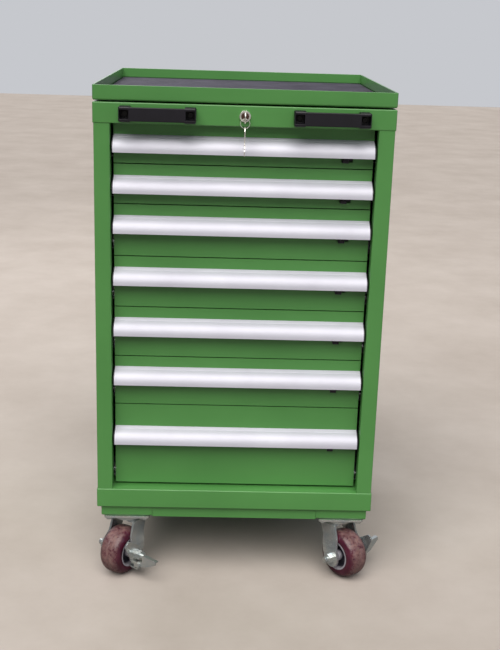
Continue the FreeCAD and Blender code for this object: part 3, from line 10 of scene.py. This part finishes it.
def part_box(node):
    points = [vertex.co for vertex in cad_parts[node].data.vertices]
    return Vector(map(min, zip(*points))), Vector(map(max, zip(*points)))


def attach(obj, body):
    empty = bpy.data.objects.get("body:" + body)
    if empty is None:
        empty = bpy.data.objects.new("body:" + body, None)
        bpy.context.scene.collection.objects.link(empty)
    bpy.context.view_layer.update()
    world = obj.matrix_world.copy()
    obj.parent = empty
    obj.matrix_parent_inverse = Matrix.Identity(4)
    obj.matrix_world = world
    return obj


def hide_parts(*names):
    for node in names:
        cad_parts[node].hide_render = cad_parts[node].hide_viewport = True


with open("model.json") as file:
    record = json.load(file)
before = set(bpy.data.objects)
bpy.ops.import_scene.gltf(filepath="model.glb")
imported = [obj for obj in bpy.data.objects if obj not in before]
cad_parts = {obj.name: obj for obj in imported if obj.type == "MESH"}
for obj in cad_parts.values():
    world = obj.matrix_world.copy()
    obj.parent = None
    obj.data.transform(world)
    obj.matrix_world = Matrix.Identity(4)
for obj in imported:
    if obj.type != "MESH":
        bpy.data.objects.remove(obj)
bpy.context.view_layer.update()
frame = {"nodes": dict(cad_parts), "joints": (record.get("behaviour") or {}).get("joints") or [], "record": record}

# A green drawer cabinet on casters. Metres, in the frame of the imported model.

MM = 0.001
JOINTS = {joint["name"]: joint for joint in frame["joints"]}
SLOTS = {part["node"]: part["material_slot"] for part in frame["record"]["subparts"]}
BODY_OF = {node: body for body, nodes in frame["record"]["behaviour"]["bodies"].items()
           for node in nodes}
DRAWERS = [f"drawer_{number}" for number in range(1, 8)]
WHEELS = ["front_left", "front_right", "rear_left", "rear_right"]


# Colours and materials


def linear(code):
    """The linear colour of an sRGB hex code."""
    channels = [int(code[at:at + 2], 16) / 255 for at in (1, 3, 5)]
    bright = [c / 12.92 if c <= 0.04045 else ((c + 0.055) / 1.055) ** 2.4 for c in channels]
    return (*bright, 1.0)


def add(tree, kind, inputs=None, **settings):
    """Adds a node: its settings by name, its inputs as values or as sockets to link from."""
    made = tree.nodes.new(kind)
    for name, value in settings.items():
        setattr(made, name, value)
    for name, value in (inputs or {}).items():
        if isinstance(value, bpy.types.NodeSocket):
            tree.links.new(value, made.inputs[name])
        else:
            made.inputs[name].default_value = value
    return made


def new_material(name):
    """An empty node material, its tree, and the Object coordinates on it."""
    made = bpy.data.materials.new(name)
    made.use_nodes = True
    tree = made.node_tree
    tree.nodes.clear()
    where = add(tree, "ShaderNodeTexCoord").outputs["Object"]
    return made, tree, where


def finish_material(tree, **inputs):
    """The surface shader with its inputs, joined to the output."""
    named = {name.replace("_", " "): value for name, value in inputs.items()}
    shader = add(tree, "ShaderNodeBsdfPrincipled", named)
    add(tree, "ShaderNodeOutputMaterial", {"Surface": shader.outputs["BSDF"]})


def noise(tree, where, period, detail=3.0, rough=0.5):
    """Smooth noise whose lumps are about one period (metres) wide."""
    return add(tree, "ShaderNodeTexNoise", {
        "Vector": where, "Scale": 1 / period, "Detail": detail, "Roughness": rough}).outputs["Fac"]


def ramp(tree, factor, low, high, first, last):
    """Blends two colours while the factor goes from low to high."""
    made = add(tree, "ShaderNodeValToRGB", {"Fac": factor})
    ends = made.color_ramp.elements
    ends[0].position, ends[0].color = low, first
    ends[1].position, ends[1].color = high, last
    return made.outputs["Color"]


def spread(tree, factor, low, high):
    """A number that goes from low to high with the factor."""
    return add(tree, "ShaderNodeMapRange", {
        "Value": factor, "To Min": low, "To Max": high}).outputs["Result"]


def bump(tree, height, depth, strength=1.0):
    return add(tree, "ShaderNodeBump", {
        "Height": height, "Distance": depth, "Strength": strength}).outputs["Normal"]


def stretched(tree, where, scale):
    return add(tree, "ShaderNodeMapping", {"Vector": where, "Scale": scale}).outputs["Vector"]


def powder_coat():
    """Green powder coat on steel: baked on, so it has a fine orange peel of about 1.5 mm."""
    made, tree, where = new_material("green_powder_coat")
    cloud = noise(tree, where, 0.22, 4.0)
    colour = ramp(tree, cloud, 0.3, 0.7, linear("#4c8a45"), linear("#54944c"))
    peel = noise(tree, where, 0.0016, 2.0)
    smudge = noise(tree, where, 0.06, 5.0, 0.65)
    finish_material(tree, Base_Color=colour, Roughness=spread(tree, smudge, 0.34, 0.5),
                    Normal=bump(tree, peel, 0.00012, 0.5), Coat_Weight=0.5, Coat_Roughness=0.22)
    return made


def anodised_aluminium():
    """Extruded, satin anodised aluminium: pale, with faint die lines along its length (X)."""
    made, tree, where = new_material("satin_anodised_aluminium")
    lines = noise(tree, stretched(tree, where, (0.01, 1, 1)), 0.0009, 2.0, 0.6)
    cloud = noise(tree, where, 0.09, 3.0)
    colour = ramp(tree, cloud, 0.3, 0.7, linear("#c9c9d6"), linear("#d2d3df"))
    finish_material(tree, Base_Color=colour, Metallic=0.15, Roughness=spread(tree, lines, 0.42, 0.56),
                    Normal=bump(tree, lines, 0.00003, 0.6))
    return made


def moulded_plastic(name, low, high, rough):
    """Moulded plastic with a fine spark-eroded grain of about 0.8 mm, drawn coarse to show."""
    made, tree, where = new_material(name)
    grain = noise(tree, where, 0.0008, 2.0)
    cloud = noise(tree, where, 0.02, 4.0)
    colour = ramp(tree, cloud, 0.3, 0.7, linear(low), linear(high))
    finish_material(tree, Base_Color=colour, Roughness=spread(tree, grain, rough - 0.06, rough + 0.06),
                    Normal=bump(tree, grain, 0.00008, 0.5))
    return made


def zinc_plate():
    """Zinc plated, passivated steel with fine scratches; near-black where its darkening mark is one."""
    made, tree, where = new_material("zinc_plated_steel")
    black = add(tree, "ShaderNodeAttribute", attribute_name="darkening").outputs["Fac"]
    patch = noise(tree, where, 0.018, 4.0, 0.6)
    bright = ramp(tree, patch, 0.35, 0.65, linear("#bcc6ca"), linear("#d6d7d3"))
    colour = add(tree, "ShaderNodeMix", {"Factor": black, "A": bright, "B": linear("#15141a")},
                 data_type="RGBA")
    scratch = noise(tree, stretched(tree, where, (1, 1, 0.15)), 0.0012, 3.0, 0.7)
    finish_material(tree, Base_Color=colour.outputs[2], Metallic=spread(tree, black, 0.8, 0.2),
                    Roughness=spread(tree, scratch, 0.18, 0.26))
    return made


def nickel_plate():
    """Polished nickel on brass: warm grey, nearly a mirror; dark brown where its darkening mark is one, a painted
    shade of the recess round the key.
    """
    made, tree, where = new_material("polished_nickel")
    recess_shade = add(tree, "ShaderNodeAttribute", attribute_name="darkening").outputs["Fac"]
    smudge = noise(tree, where, 0.006, 4.0, 0.6)
    colour = add(tree, "ShaderNodeMix", {"Factor": recess_shade, "A": linear("#f0eee8"),
                                         "B": linear("#5c463c")}, data_type="RGBA")
    finish_material(tree, Base_Color=colour.outputs[2], Metallic=spread(tree, recess_shade, 0.7, 0.4),
                    Roughness=spread(tree, smudge, 0.12, 0.26))
    return made


def cast_polyurethane():
    """Cast polyurethane tread, maroon and a little see-through, dulled by dust where it rolls."""
    made, tree, where = new_material("cast_polyurethane")
    worn = add(tree, "ShaderNodeAttribute", attribute_name="dust_and_shade").outputs["Fac"]
    speck = noise(tree, where, 0.009, 6.0, 0.75)
    cloud = noise(tree, where, 0.02, 4.0, 0.6)
    patch = add(tree, "ShaderNodeMapRange", {"Value": speck, "From Min": 0.34, "From Max": 0.66})
    dusty = add(tree, "ShaderNodeMath", {0: worn, 1: patch.outputs["Result"]},
                operation="MULTIPLY").outputs["Value"]
    clean = ramp(tree, cloud, 0.3, 0.7, linear("#3c1022"), linear("#521e32"))
    colour = add(tree, "ShaderNodeMix", {"Factor": dusty, "A": clean, "B": linear("#886b67")},
                 data_type="RGBA")
    finish_material(tree, Base_Color=colour.outputs[2], Roughness=spread(tree, dusty, 0.16, 0.7),
                    Subsurface_Weight=0.12, Subsurface_Scale=0.006,
                    Normal=bump(tree, speck, 0.0002, 0.25))
    return made


def hub_nylon():
    """Moulded nylon hub: pale grey on its rim, painted dark where it dips, a painted shade of the recessed web."""
    made, tree, where = new_material("hub_nylon")
    rim = add(tree, "ShaderNodeAttribute", attribute_name="dust_and_shade").outputs["Fac"]
    grain = noise(tree, where, 0.003, 3.0)
    # The dark end of this blend is painted shade in the web's dip.
    colour = ramp(tree, rim, 0.35, 0.65, linear("#3a3845"), linear("#a29fa8"))
    finish_material(tree, Base_Color=colour, Roughness=spread(tree, grain, 0.38, 0.5),
                    Normal=bump(tree, grain, 0.0001, 0.4))
    return made


def ribbed_rubber():
    """Moulded rubber sheet, charcoal with a little bloom and dust."""
    made, tree, where = new_material("ribbed_rubber")
    dust = noise(tree, where, 0.05, 6.0, 0.65)
    grain = noise(tree, where, 0.0012, 2.0)
    colour = ramp(tree, dust, 0.35, 0.7, linear("#3c3a46"), linear("#504e5c"))
    finish_material(tree, Base_Color=colour, Roughness=spread(tree, dust, 0.6, 0.8),
                    Normal=bump(tree, grain, 0.0001, 0.5))
    return made


MATERIALS = {
    "green_paint": powder_coat(),
    "grip_aluminium": anodised_aluminium(),
    "black_plastic": moulded_plastic("black_abs", "#0e0c15", "#15121d", 0.45),
    "zinc_steel": zinc_plate(),
    "maroon_tread": cast_polyurethane(),
    "hub_plastic": hub_nylon(),
    "mat_rubber": ribbed_rubber(),
    "nickel": nickel_plate(),
}


# Meshes


def enter(name, points, faces, slot, body, sharp=35.0):
    """A mesh object from points and faces, with its finish, riding on a body."""
    mesh = bpy.data.meshes.new(name)
    mesh.from_pydata(points.reshape(-1, 3).tolist(), [], faces)
    made = bpy.data.objects.new(name, mesh)
    bpy.context.scene.collection.objects.link(made)
    face_outwards(mesh)
    mesh.shade_smooth()
    mesh.set_sharp_from_angle(angle=math.radians(sharp))
    mesh.materials.append(MATERIALS[slot])
    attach(made, body)
    return made


def face_outwards(mesh):
    """Merges doubles and turns every face outwards."""
    work = bmesh.new()
    work.from_mesh(mesh)
    bmesh.ops.remove_doubles(work, verts=work.verts, dist=1e-7)
    bmesh.ops.recalc_face_normals(work, faces=work.faces)
    work.to_mesh(mesh)
    work.free()


def grid_faces(rows, columns, wrap_rows, wrap_columns):
    """The quads of a grid of points, with its last row or column joined to the first."""
    row = np.arange(rows if wrap_rows else rows - 1)[:, None]
    column = np.arange(columns if wrap_columns else columns - 1)[None, :]
    next_row, next_column = (row + 1) % rows, (column + 1) % columns
    quads = np.stack([row * columns + column, row * columns + next_column,
                      next_row * columns + next_column, next_row * columns + column], axis=-1)
    return quads.reshape(-1, 4).tolist()


def end_faces(rings, count):
    """The two faces that close a run of rings of count points each."""
    last = (rings - 1) * count
    return [list(range(count))[::-1], [last + number for number in range(count)]]


def unit_frame(axis):
    """Three unit directions: along the axis and two across it."""
    along = np.array(Vector(axis).normalized())
    across = np.array(Vector(axis).orthogonal().normalized())
    return along, across, np.cross(along, across)


def turned(name, centre, axis, profile, slot, body, segments=96, dust_and_shade=None):
    """A closed profile of (distance along the axis, radius) in metres, turned about the axis."""
    along, across, third = unit_frame(axis)
    angle = np.linspace(0, 2 * math.pi, segments, endpoint=False)[:, None, None]
    reach = np.array([point[0] for point in profile])[None, :, None]
    radius = np.array([point[1] for point in profile])[None, :, None]
    points = (np.array(centre) + reach * along
              + radius * (np.cos(angle) * across + np.sin(angle) * third))
    made = enter(name, points, grid_faces(segments, len(profile), True, True), slot, body)
    if dust_and_shade is not None:
        offset = mesh_points(made.data) - np.array(centre)
        height = offset @ along
        distance = np.linalg.norm(offset - height[:, None] * along, axis=1)
        # The mark holds real dust on the treads and painted shade on the hubs.
        values = np.ascontiguousarray(dust_and_shade(height, distance), dtype=np.float32)
        made.data.attributes.new("dust_and_shade", "FLOAT", "POINT").data.foreach_set("value", values)
    return made


def mesh_points(mesh):
    values = np.zeros(len(mesh.vertices) * 3)
    mesh.vertices.foreach_get("co", values)
    return values.reshape(-1, 3)


TUBE_SIDES = 12


def tube(name, path, radius, slot, body):
    """A round wire: circles across a path of points, square to its run."""
    path = np.array(path)
    run = np.gradient(path, axis=0)
    run /= np.linalg.norm(run, axis=1)[:, None]
    spare = np.where(np.abs(run[:, :1]) < 0.9, [[1.0, 0, 0]], [[0, 1.0, 0]])
    first = np.cross(run, spare)
    first /= np.linalg.norm(first, axis=1)[:, None]
    second = np.cross(run, first)
    angle = np.linspace(0, 2 * math.pi, TUBE_SIDES, endpoint=False)[None, :, None]
    points = path[:, None] + radius * (np.cos(angle) * first[:, None] + np.sin(angle) * second[:, None])
    faces = grid_faces(len(path), TUBE_SIDES, False, True) + end_faces(len(path), TUBE_SIDES)
    return enter(name, points, faces, slot, body)


def slab(name, outline, axis, low, high, edge, slot, body):
    """A plate: a closed outline (n, 2) carried along an axis, its rims drawn in to soften them."""
    outline = np.array(outline)
    before, after = np.roll(outline, 1, axis=0), np.roll(outline, -1, axis=0)
    run = after - before
    run /= np.linalg.norm(run, axis=1)[:, None]
    inward = np.stack([-run[:, 1], run[:, 0]], axis=1)
    area = np.sum(outline[:, 0] * after[:, 1] - after[:, 0] * outline[:, 1])
    inset = outline + inward * edge * np.sign(area)
    rings = [(inset, low), (outline, low + edge), (outline, high - edge), (inset, high)]
    places = [number for number in range(3) if number != axis]
    points = np.zeros((len(rings), len(outline), 3))
    for number, (ring, level) in enumerate(rings):
        points[number, :, places[0]] = ring[:, 0]
        points[number, :, places[1]] = ring[:, 1]
        points[number, :, axis] = level
    count = len(outline)
    faces = grid_faces(len(rings), count, False, True) + end_faces(len(rings), count)
    return enter(name, points, faces, slot, body)


EDGE_ANGLE = math.radians(40)


def softened(node, width):
    """A copy of a node with its flat faces joined and its edges rounded by a real bend radius."""
    work = bmesh.new()
    work.from_mesh(frame["nodes"][node].data)
    bmesh.ops.remove_doubles(work, verts=work.verts, dist=1e-6)
    bmesh.ops.dissolve_limit(work, angle_limit=math.radians(1.0), verts=work.verts,
                             edges=work.edges)
    mesh = bpy.data.meshes.new(node + "_finished")
    work.to_mesh(mesh)
    work.free()
    mesh.shade_smooth()
    mesh.set_sharp_from_angle(angle=EDGE_ANGLE)
    mesh.materials.clear()
    mesh.materials.append(MATERIALS[SLOTS[node]])
    made = bpy.data.objects.new(node + "_finished", mesh)
    bpy.context.scene.collection.objects.link(made)
    rounding = made.modifiers.new("edges", "BEVEL")
    rounding.width = width
    rounding.segments = 2
    rounding.limit_method = "ANGLE"
    rounding.angle_limit = EDGE_ANGLE
    rounding.harden_normals = True
    rounding.use_clamp_overlap = True
    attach(made, BODY_OF[node])
    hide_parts(node)
    return made


def dress_nodes():
    """Gives every node its finish."""
    for node, item in frame["nodes"].items():
        item.data.materials.clear()
        item.data.materials.append(MATERIALS[SLOTS[node]])


# Edge radii in millimetres
SOFT_EDGES = {
    0.35: ["side_panel_left", "side_panel_right", "lock_rod", "locking_bar", "lock_key"],
    0.4: ["front_left_pedal", "front_right_pedal", "front_caster_plates"],
    0.5: ["lock_housing", "base_pan", "caster_subframe", "top_cover"],
    0.8: ["front_left_fork", "front_right_fork", "rear_caster_forks", "top_tray"],
}
DRAWER_EDGES = {"shell": 0.45, "handle": 0.3, "latch": 0.4}
PLUG_EDGE, PULL_EDGE, SCREW_EDGE = 0.4 * MM, 0.7 * MM, 0.5 * MM
HEADER_LOW = 935 * MM


def set_darkening(mesh, values):
    """Writes how far each point of a metal piece is darkened, from 0 to 1."""
    made = mesh.attributes.new("darkening", "FLOAT", "POINT")
    made.data.foreach_set("value", np.asarray(values, dtype=np.float32))


def soften_all():
    """Rounds the edges that show. The pull handles' screws and the lock's plug turn dark."""
    for width, nodes in SOFT_EDGES.items():
        for node in nodes:
            softened(node, width * MM)
    plug = softened("lock_plug", PLUG_EDGE).data
    # The whole plug is painted dark brown: painted shade of the recess round the key.
    set_darkening(plug, np.ones(len(plug.vertices)))
    for drawer in DRAWERS:
        for part, width in DRAWER_EDGES.items():
            softened(f"{drawer}_{part}", width * MM)
    softened("pull_handles", PULL_EDGE)
    screws = softened("fasteners", SCREW_EDGE).data
    # The screw heads above the header's bottom, in the pull handles' pockets, are drawn near-black.
    set_darkening(screws, mesh_points(screws)[:, 2] > HEADER_LOW)


# The grips' end caps

BAND_DEEP, BAND_DROP = 15 * MM, 7.7 * MM
FACE_DROP, FACE_RADIUS = 26.5 * MM, 24 * MM
BACK_LIFT = 4 * MM
CAP_THICK = 2.2 * MM
CAP_EDGE = 0.4 * MM


def short_arc(start, end, radius, count):
    """Points of the arc from start to end that bulges to the right of the way."""
    start, end = np.array(start), np.array(end)
    chord = end - start
    length = np.linalg.norm(chord)
    left = np.array([-chord[1], chord[0]]) / length
    centre = (start + end) / 2 + left * math.sqrt(radius ** 2 - length ** 2 / 4)
    first, last = start - centre, end - centre
    turn = math.atan2(first[0] * last[1] - first[1] * last[0], first @ last)
    base = math.atan2(first[1], first[0])
    angle = base + np.linspace(0, turn, count)
    return centre + radius * np.stack([np.cos(angle), np.sin(angle)], axis=1)


def grip_caps(drawer):
    """Black plugs in both ends of a grip: its outer section, closed by a straight lower edge."""
    low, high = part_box(drawer + "_handle")
    back, front, top = high.y, low.y, high.z
    face = short_arc((back - BAND_DEEP, top - BAND_DROP), (front, top - FACE_DROP), FACE_RADIUS, 9)
    outline = np.vstack([[(back, top)], face, [(front, low.z)], [(back, low.z + BACK_LIFT)]])
    for word, start, end in (("left", low.x - CAP_THICK, low.x), ("right", high.x, high.x + CAP_THICK)):
        slab(f"{drawer}_{word}_cap", outline, 0, start, end, CAP_EDGE, "black_plastic", drawer)


# The ribbed mat

RIB_PITCH = 3.2 * MM
RIB_DEEP = 0.9 * MM
RIB_POINTS = 6
MAT_BEVEL = 1 * MM


def ribbed_mat():
    """A sheet whose top rises and falls as a clipped cosine of the distance across its ribs."""
    low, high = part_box("tray_mat")
    ribs = int((high.y - low.y) / RIB_PITCH)
    along = np.linspace(low.y, high.y, ribs * RIB_POINTS + 1)
    wave = np.cos((along - low.y) / (high.y - low.y) * ribs * 2 * math.pi)
    top = high.z - RIB_DEEP * np.clip(0.5 + 0.9 * wave, 0, 1)
    section = [(low.x, 0), (low.x, 1), (low.x + MAT_BEVEL, 2), (high.x - MAT_BEVEL, 2),
               (high.x, 1), (high.x, 0)]
    points = np.zeros((len(along), len(section), 3))
    for number, (x, level) in enumerate(section):
        points[:, number, 0] = x
        points[:, number, 1] = along
        points[:, number, 2] = (low.z, top - MAT_BEVEL, top)[level]
    count = len(section)
    faces = grid_faces(len(along), count, False, True) + end_faces(len(along), count)
    made = enter("ribbed_mat", points, faces, "mat_rubber", "cabinet", 60.0)
    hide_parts("tray_mat")


# Wheels

HALF_WHEEL = 25 * MM
CROWN, CROWN_FLAT = 50 * MM, 9 * MM
SIDE_RADIUS, TREAD_ROUND = 37.5 * MM, 17 * MM
DUST_START, DUST_FADE, DUST_MOST = 42 * MM, 1.5, 1.15
HUB_RADIUS, RIM_INNER = 31 * MM, 27.5 * MM
RIM_START, RIM_BLEND = 18 * MM, 4 * MM
WEB_OUTER, WEB_HALF = 25 * MM, 7 * MM
BOSS_RADIUS, BOSS_HALF, BORE = 12 * MM, 26 * MM, 6.1 * MM


def mirrored(half):
    """A profile's right half followed by its mirror image."""
    return half + [(-x, radius) for x, radius in half[::-1]]


def tread(word, centre, axis, body):
    """The tyre: a flat crown, round shoulders and a thin step where it meets the hub."""
    shoulder = short_arc((HALF_WHEEL, SIDE_RADIUS), (CROWN_FLAT, CROWN), TREAD_ROUND, 13)
    half = [(HALF_WHEEL - 0.8 * MM, HUB_RADIUS), (HALF_WHEEL - 0.2 * MM, HUB_RADIUS + 0.6 * MM),
            (HALF_WHEEL, HUB_RADIUS + 1.6 * MM)]
    half += [tuple(point) for point in shoulder]
    half += [(CROWN_FLAT / 2, CROWN), (0.5 * MM, CROWN), (0.25 * MM, CROWN - 0.15 * MM)]

    def dust(height, distance):
        """Most on the crown, fading down the shoulders."""
        share = np.clip((distance - DUST_START) / (CROWN - DUST_START), 0, 1)
        return share ** DUST_FADE * DUST_MOST

    made = turned(f"{word}_tyre", centre, axis, mirrored(half), "maroon_tread", body, 128, dust)
    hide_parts(f"{word}_tread")


def hub(word, centre, axis, body):
    """The wheel's core: a rim, a deep web with a raised ring, and the boss round the axle."""
    half = [(BOSS_HALF, BORE), (BOSS_HALF, BOSS_RADIUS - 0.6 * MM), (BOSS_HALF - 0.6 * MM, BOSS_RADIUS),
            (WEB_HALF + 3 * MM, BOSS_RADIUS), (WEB_HALF + 1.5 * MM, BOSS_RADIUS + 2 * MM),
            (WEB_HALF + 1.5 * MM, BOSS_RADIUS + 4 * MM), (WEB_HALF, BOSS_RADIUS + 5 * MM),
            (WEB_HALF, WEB_OUTER - 1.5 * MM), (WEB_HALF + 1.5 * MM, WEB_OUTER),
            (HALF_WHEEL - 1.2 * MM, RIM_INNER), (HALF_WHEEL - 0.3 * MM, RIM_INNER + 0.5 * MM),
            (HALF_WHEEL, RIM_INNER + 1.2 * MM), (HALF_WHEEL - 0.4 * MM, HUB_RADIUS)]

    def rim(height, distance):
        """Pale on the outer faces, dark in the dip: painted shade."""
        return np.clip((np.abs(height) - RIM_START) / RIM_BLEND, 0, 1)

    made = turned(f"{word}_core", centre, axis, mirrored(half), "hub_plastic", body, 96, rim)
    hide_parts(f"{word}_hub")


def wheels():
    for word in WHEELS:
        joint = JOINTS[f"{word}_spin"]
        tread(word, joint["pos_m"], joint["axis"], joint["child"])
        hub(word, joint["pos_m"], joint["axis"], joint["child"])


# Key ring and spare key

WIRE, TURN_APART = 0.55 * MM, 0.56 * MM
SOLID_WIRE = 0.8 * MM


def split_ring():
    """A split ring: two turns of wire side by side, the step between them spread over an eighth."""
    low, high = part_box("key_ring")
    middle = (low + high) / 2
    radius = (high.z - low.z) / 2 - SOLID_WIRE
    angle = np.linspace(0, 4 * math.pi, 129)
    share = np.clip((angle - 2 * math.pi + 0.4) / 0.8, 0, 1)
    across = (share * share * (3 - 2 * share) * 2 - 1) * TURN_APART
    path = np.stack([middle.x + radius * np.sin(angle), middle.y + across,
                     middle.z + radius * np.cos(angle)], axis=1)
    made = tube("split_ring", path, WIRE, "nickel", "ring")
    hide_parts("key_ring")
    return middle, radius


BLADE_HALF = 3.4 * MM
BOW = 10 * MM
KEY_LONG, KEY_THICK, KEY_EDGE = 54 * MM, 1.9 * MM, 0.25 * MM
HOLE, HOLE_DROP, HOLE_REACH = 2 * MM, 3.4 * MM, 3 * MM
AXIS_GAP = 0.001 * MM
RING_PAST = 2.6 * MM


def key_outline(y, top):
    """A flat key seen from its side: a round bow above, then a blade with saw-like cuts."""
    start = math.asin(BLADE_HALF / BOW)
    angle = np.linspace(start, 2 * math.pi - start, 33)
    bow = np.stack([y + BOW * np.sin(angle), top - BOW - BOW * np.cos(angle)], axis=1)
    depths = np.array([0.0, 1.2, 0.3, 2.0, 0.6, 1.5, 0.2, 1.1, 0.4]) * MM
    levels = np.linspace(top - 2 * BOW - 6 * MM, top - KEY_LONG + 3 * MM, len(depths))
    cuts = np.stack([y - BLADE_HALF + depths, levels], axis=1)
    tip = [(y - 1.2 * MM, top - KEY_LONG), (y + 1.5 * MM, top - KEY_LONG),
           (y + BLADE_HALF, top - KEY_LONG + 3 * MM)]
    return np.vstack([bow, cuts, tip])


def spare_key(middle, radius):
    """The second key, hung by its bow from the bottom of the ring, edge to the front."""
    top = middle.z - radius + RING_PAST
    outline = key_outline(middle.y, top)
    made = slab("spare_key", outline, 0, -KEY_THICK / 2, KEY_THICK / 2, KEY_EDGE, "nickel", "ring")
    punch = turned("spare_key_punch", (0, middle.y, top - HOLE_DROP), (1, 0, 0),
                   [(-HOLE_REACH, AXIS_GAP), (-HOLE_REACH, HOLE), (HOLE_REACH, HOLE),
                    (HOLE_REACH, AXIS_GAP)], "nickel", "ring", 32)
    bore(made, punch)


def bore(piece, tool):
    """Cuts the tool out of the piece and removes it."""
    cutter = piece.modifiers.new("hole", "BOOLEAN")
    cutter.object = tool
    cutter.operation = "DIFFERENCE"
    cutter.solver = "EXACT"
    bpy.context.view_layer.update()
    shape = bpy.data.meshes.new_from_object(piece.evaluated_get(bpy.context.evaluated_depsgraph_get()))
    piece.modifiers.clear()
    piece.data = shape
    bpy.data.objects.remove(tool)


# Floor, light and camera

IMAGE = (500, 650)
CAMERA_PLACE = (-0.0345, -2.2765, 1.143)
CAMERA_YAW, CAMERA_PITCH, CAMERA_ROLL = 1.59, 16.52, 1.76
FOCAL_PIXELS = 1061.8
SENSOR = 36.0
FLOOR_REACH = 12.0
SKY_POWER, WALL_POWER = 0.34, 1.0
WALL_EDGE = 0.5
SUN_SPREAD, SUN_POWER = 60, 3.45
SUN_WAY = (0.12, 0.56, -0.82)
LAMP_SIZE = 2.0


def floor():
    """A worn concrete floor, far past the view, which throws less light back than it shows."""
    made, tree, where = new_material("concrete")
    cloud = noise(tree, where, 0.35, 8.0, 0.65)
    pale = ramp(tree, cloud, 0.3, 0.7, linear("#b2a8a0"), linear("#c2b9b2"))
    seen = add(tree, "ShaderNodeLightPath").outputs["Is Camera Ray"]
    colour = add(tree, "ShaderNodeMix", {"Factor": seen, "A": linear("#7a746e"), "B": pale},
                 data_type="RGBA")
    finish_material(tree, Base_Color=colour.outputs[2], Roughness=0.8)
    mesh = bpy.data.meshes.new("floor")
    corners = [(-FLOOR_REACH, -FLOOR_REACH, 0), (FLOOR_REACH, -FLOOR_REACH, 0),
               (FLOOR_REACH, FLOOR_REACH, 0), (-FLOOR_REACH, FLOOR_REACH, 0)]
    mesh.from_pydata(corners, [], [(0, 1, 2, 3)])
    mesh.materials.append(made)
    ground = bpy.data.objects.new("floor", mesh)
    bpy.context.scene.collection.objects.link(ground)


def area_light(name, place, target, power, colour):
    """A square soft light that looks at a target."""
    lamp = bpy.data.lights.new(name, "AREA")
    lamp.size = LAMP_SIZE
    lamp.energy = power
    lamp.color = linear(colour)[:3]
    made = bpy.data.objects.new(name, lamp)
    bpy.context.scene.collection.objects.link(made)
    made.location = place
    made.rotation_euler = (Vector(target) - Vector(place)).to_track_quat("-Z", "Y").to_euler()


def studio():
    """Soft light from above and in front. The pale wall behind also shows in what mirrors it."""
    world = bpy.data.worlds.new("studio")
    world.use_nodes = True
    tree = world.node_tree
    tree.nodes.clear()
    where = add(tree, "ShaderNodeTexCoord").outputs["Generated"]
    part = add(tree, "ShaderNodeSeparateXYZ", {"Vector": where})
    sky = ramp(tree, part.outputs["Z"], 0.0, 0.9, linear("#7d7f80"), linear("#e6ecf4"))
    dim = add(tree, "ShaderNodeBackground", {"Color": sky, "Strength": SKY_POWER})
    wall = add(tree, "ShaderNodeBackground", {"Color": linear("#c6c8cd"), "Strength": WALL_POWER})
    ray = add(tree, "ShaderNodeLightPath")
    behind = add(tree, "ShaderNodeMath", {0: part.outputs["Y"], 1: WALL_EDGE}, operation="GREATER_THAN")
    mirror = add(tree, "ShaderNodeMath", {
        0: ray.outputs["Is Glossy Ray"], 1: behind.outputs["Value"]}, operation="MULTIPLY")
    seen = add(tree, "ShaderNodeMath", {
        0: ray.outputs["Is Camera Ray"], 1: mirror.outputs["Value"]}, operation="MAXIMUM")
    shade = add(tree, "ShaderNodeMixShader", {
        "Fac": seen.outputs["Value"], 1: dim.outputs["Background"], 2: wall.outputs["Background"]})
    add(tree, "ShaderNodeOutputWorld", {"Surface": shade.outputs["Shader"]})
    bpy.context.scene.world = world
    sun = bpy.data.lights.new("sky_light", "SUN")
    sun.angle = math.radians(SUN_SPREAD)
    sun.energy = SUN_POWER
    sun.color = linear("#fffaf4")[:3]
    made = bpy.data.objects.new("sky_light", sun)
    bpy.context.scene.collection.objects.link(made)
    made.rotation_euler = Vector(SUN_WAY).to_track_quat("-Z", "Y").to_euler()
    area_light("fill", (2.6, -2.4, 1.4), (0, 0, 0.4), 10, "#f2f6ff")
    area_light("back", (-1.2, 2.6, 2.6), (0, 0, 0.6), 25, "#ffffff")
    view = bpy.context.scene.view_settings
    view.view_transform = "Standard"
    view.look = "None"


def camera():
    """The camera at the photograph's place, from its yaw, pitch and roll in degrees."""
    yaw, pitch, roll = (math.radians(turn) for turn in (CAMERA_YAW, CAMERA_PITCH, CAMERA_ROLL))
    forward = Vector((math.sin(yaw) * math.cos(pitch), math.cos(yaw) * math.cos(pitch),
                      -math.sin(pitch)))
    right = Vector((math.cos(yaw), -math.sin(yaw), 0))
    up = right.cross(forward)
    across = math.cos(roll) * right + math.sin(roll) * up
    upward = -math.sin(roll) * right + math.cos(roll) * up
    turn = Matrix((across, upward, -forward)).transposed().to_4x4()
    lens = bpy.data.cameras.new("camera")
    lens.sensor_width = SENSOR
    lens.lens = FOCAL_PIXELS * SENSOR / max(IMAGE)
    made = bpy.data.objects.new("camera", lens)
    bpy.context.scene.collection.objects.link(made)
    made.matrix_world = Matrix.Translation(CAMERA_PLACE) @ turn
    bpy.context.scene.camera = made


floor()
studio()
camera()
dress_nodes()
soften_all()
for drawer in DRAWERS:
    grip_caps(drawer)
ribbed_mat()
wheels()
spare_key(*split_ring())
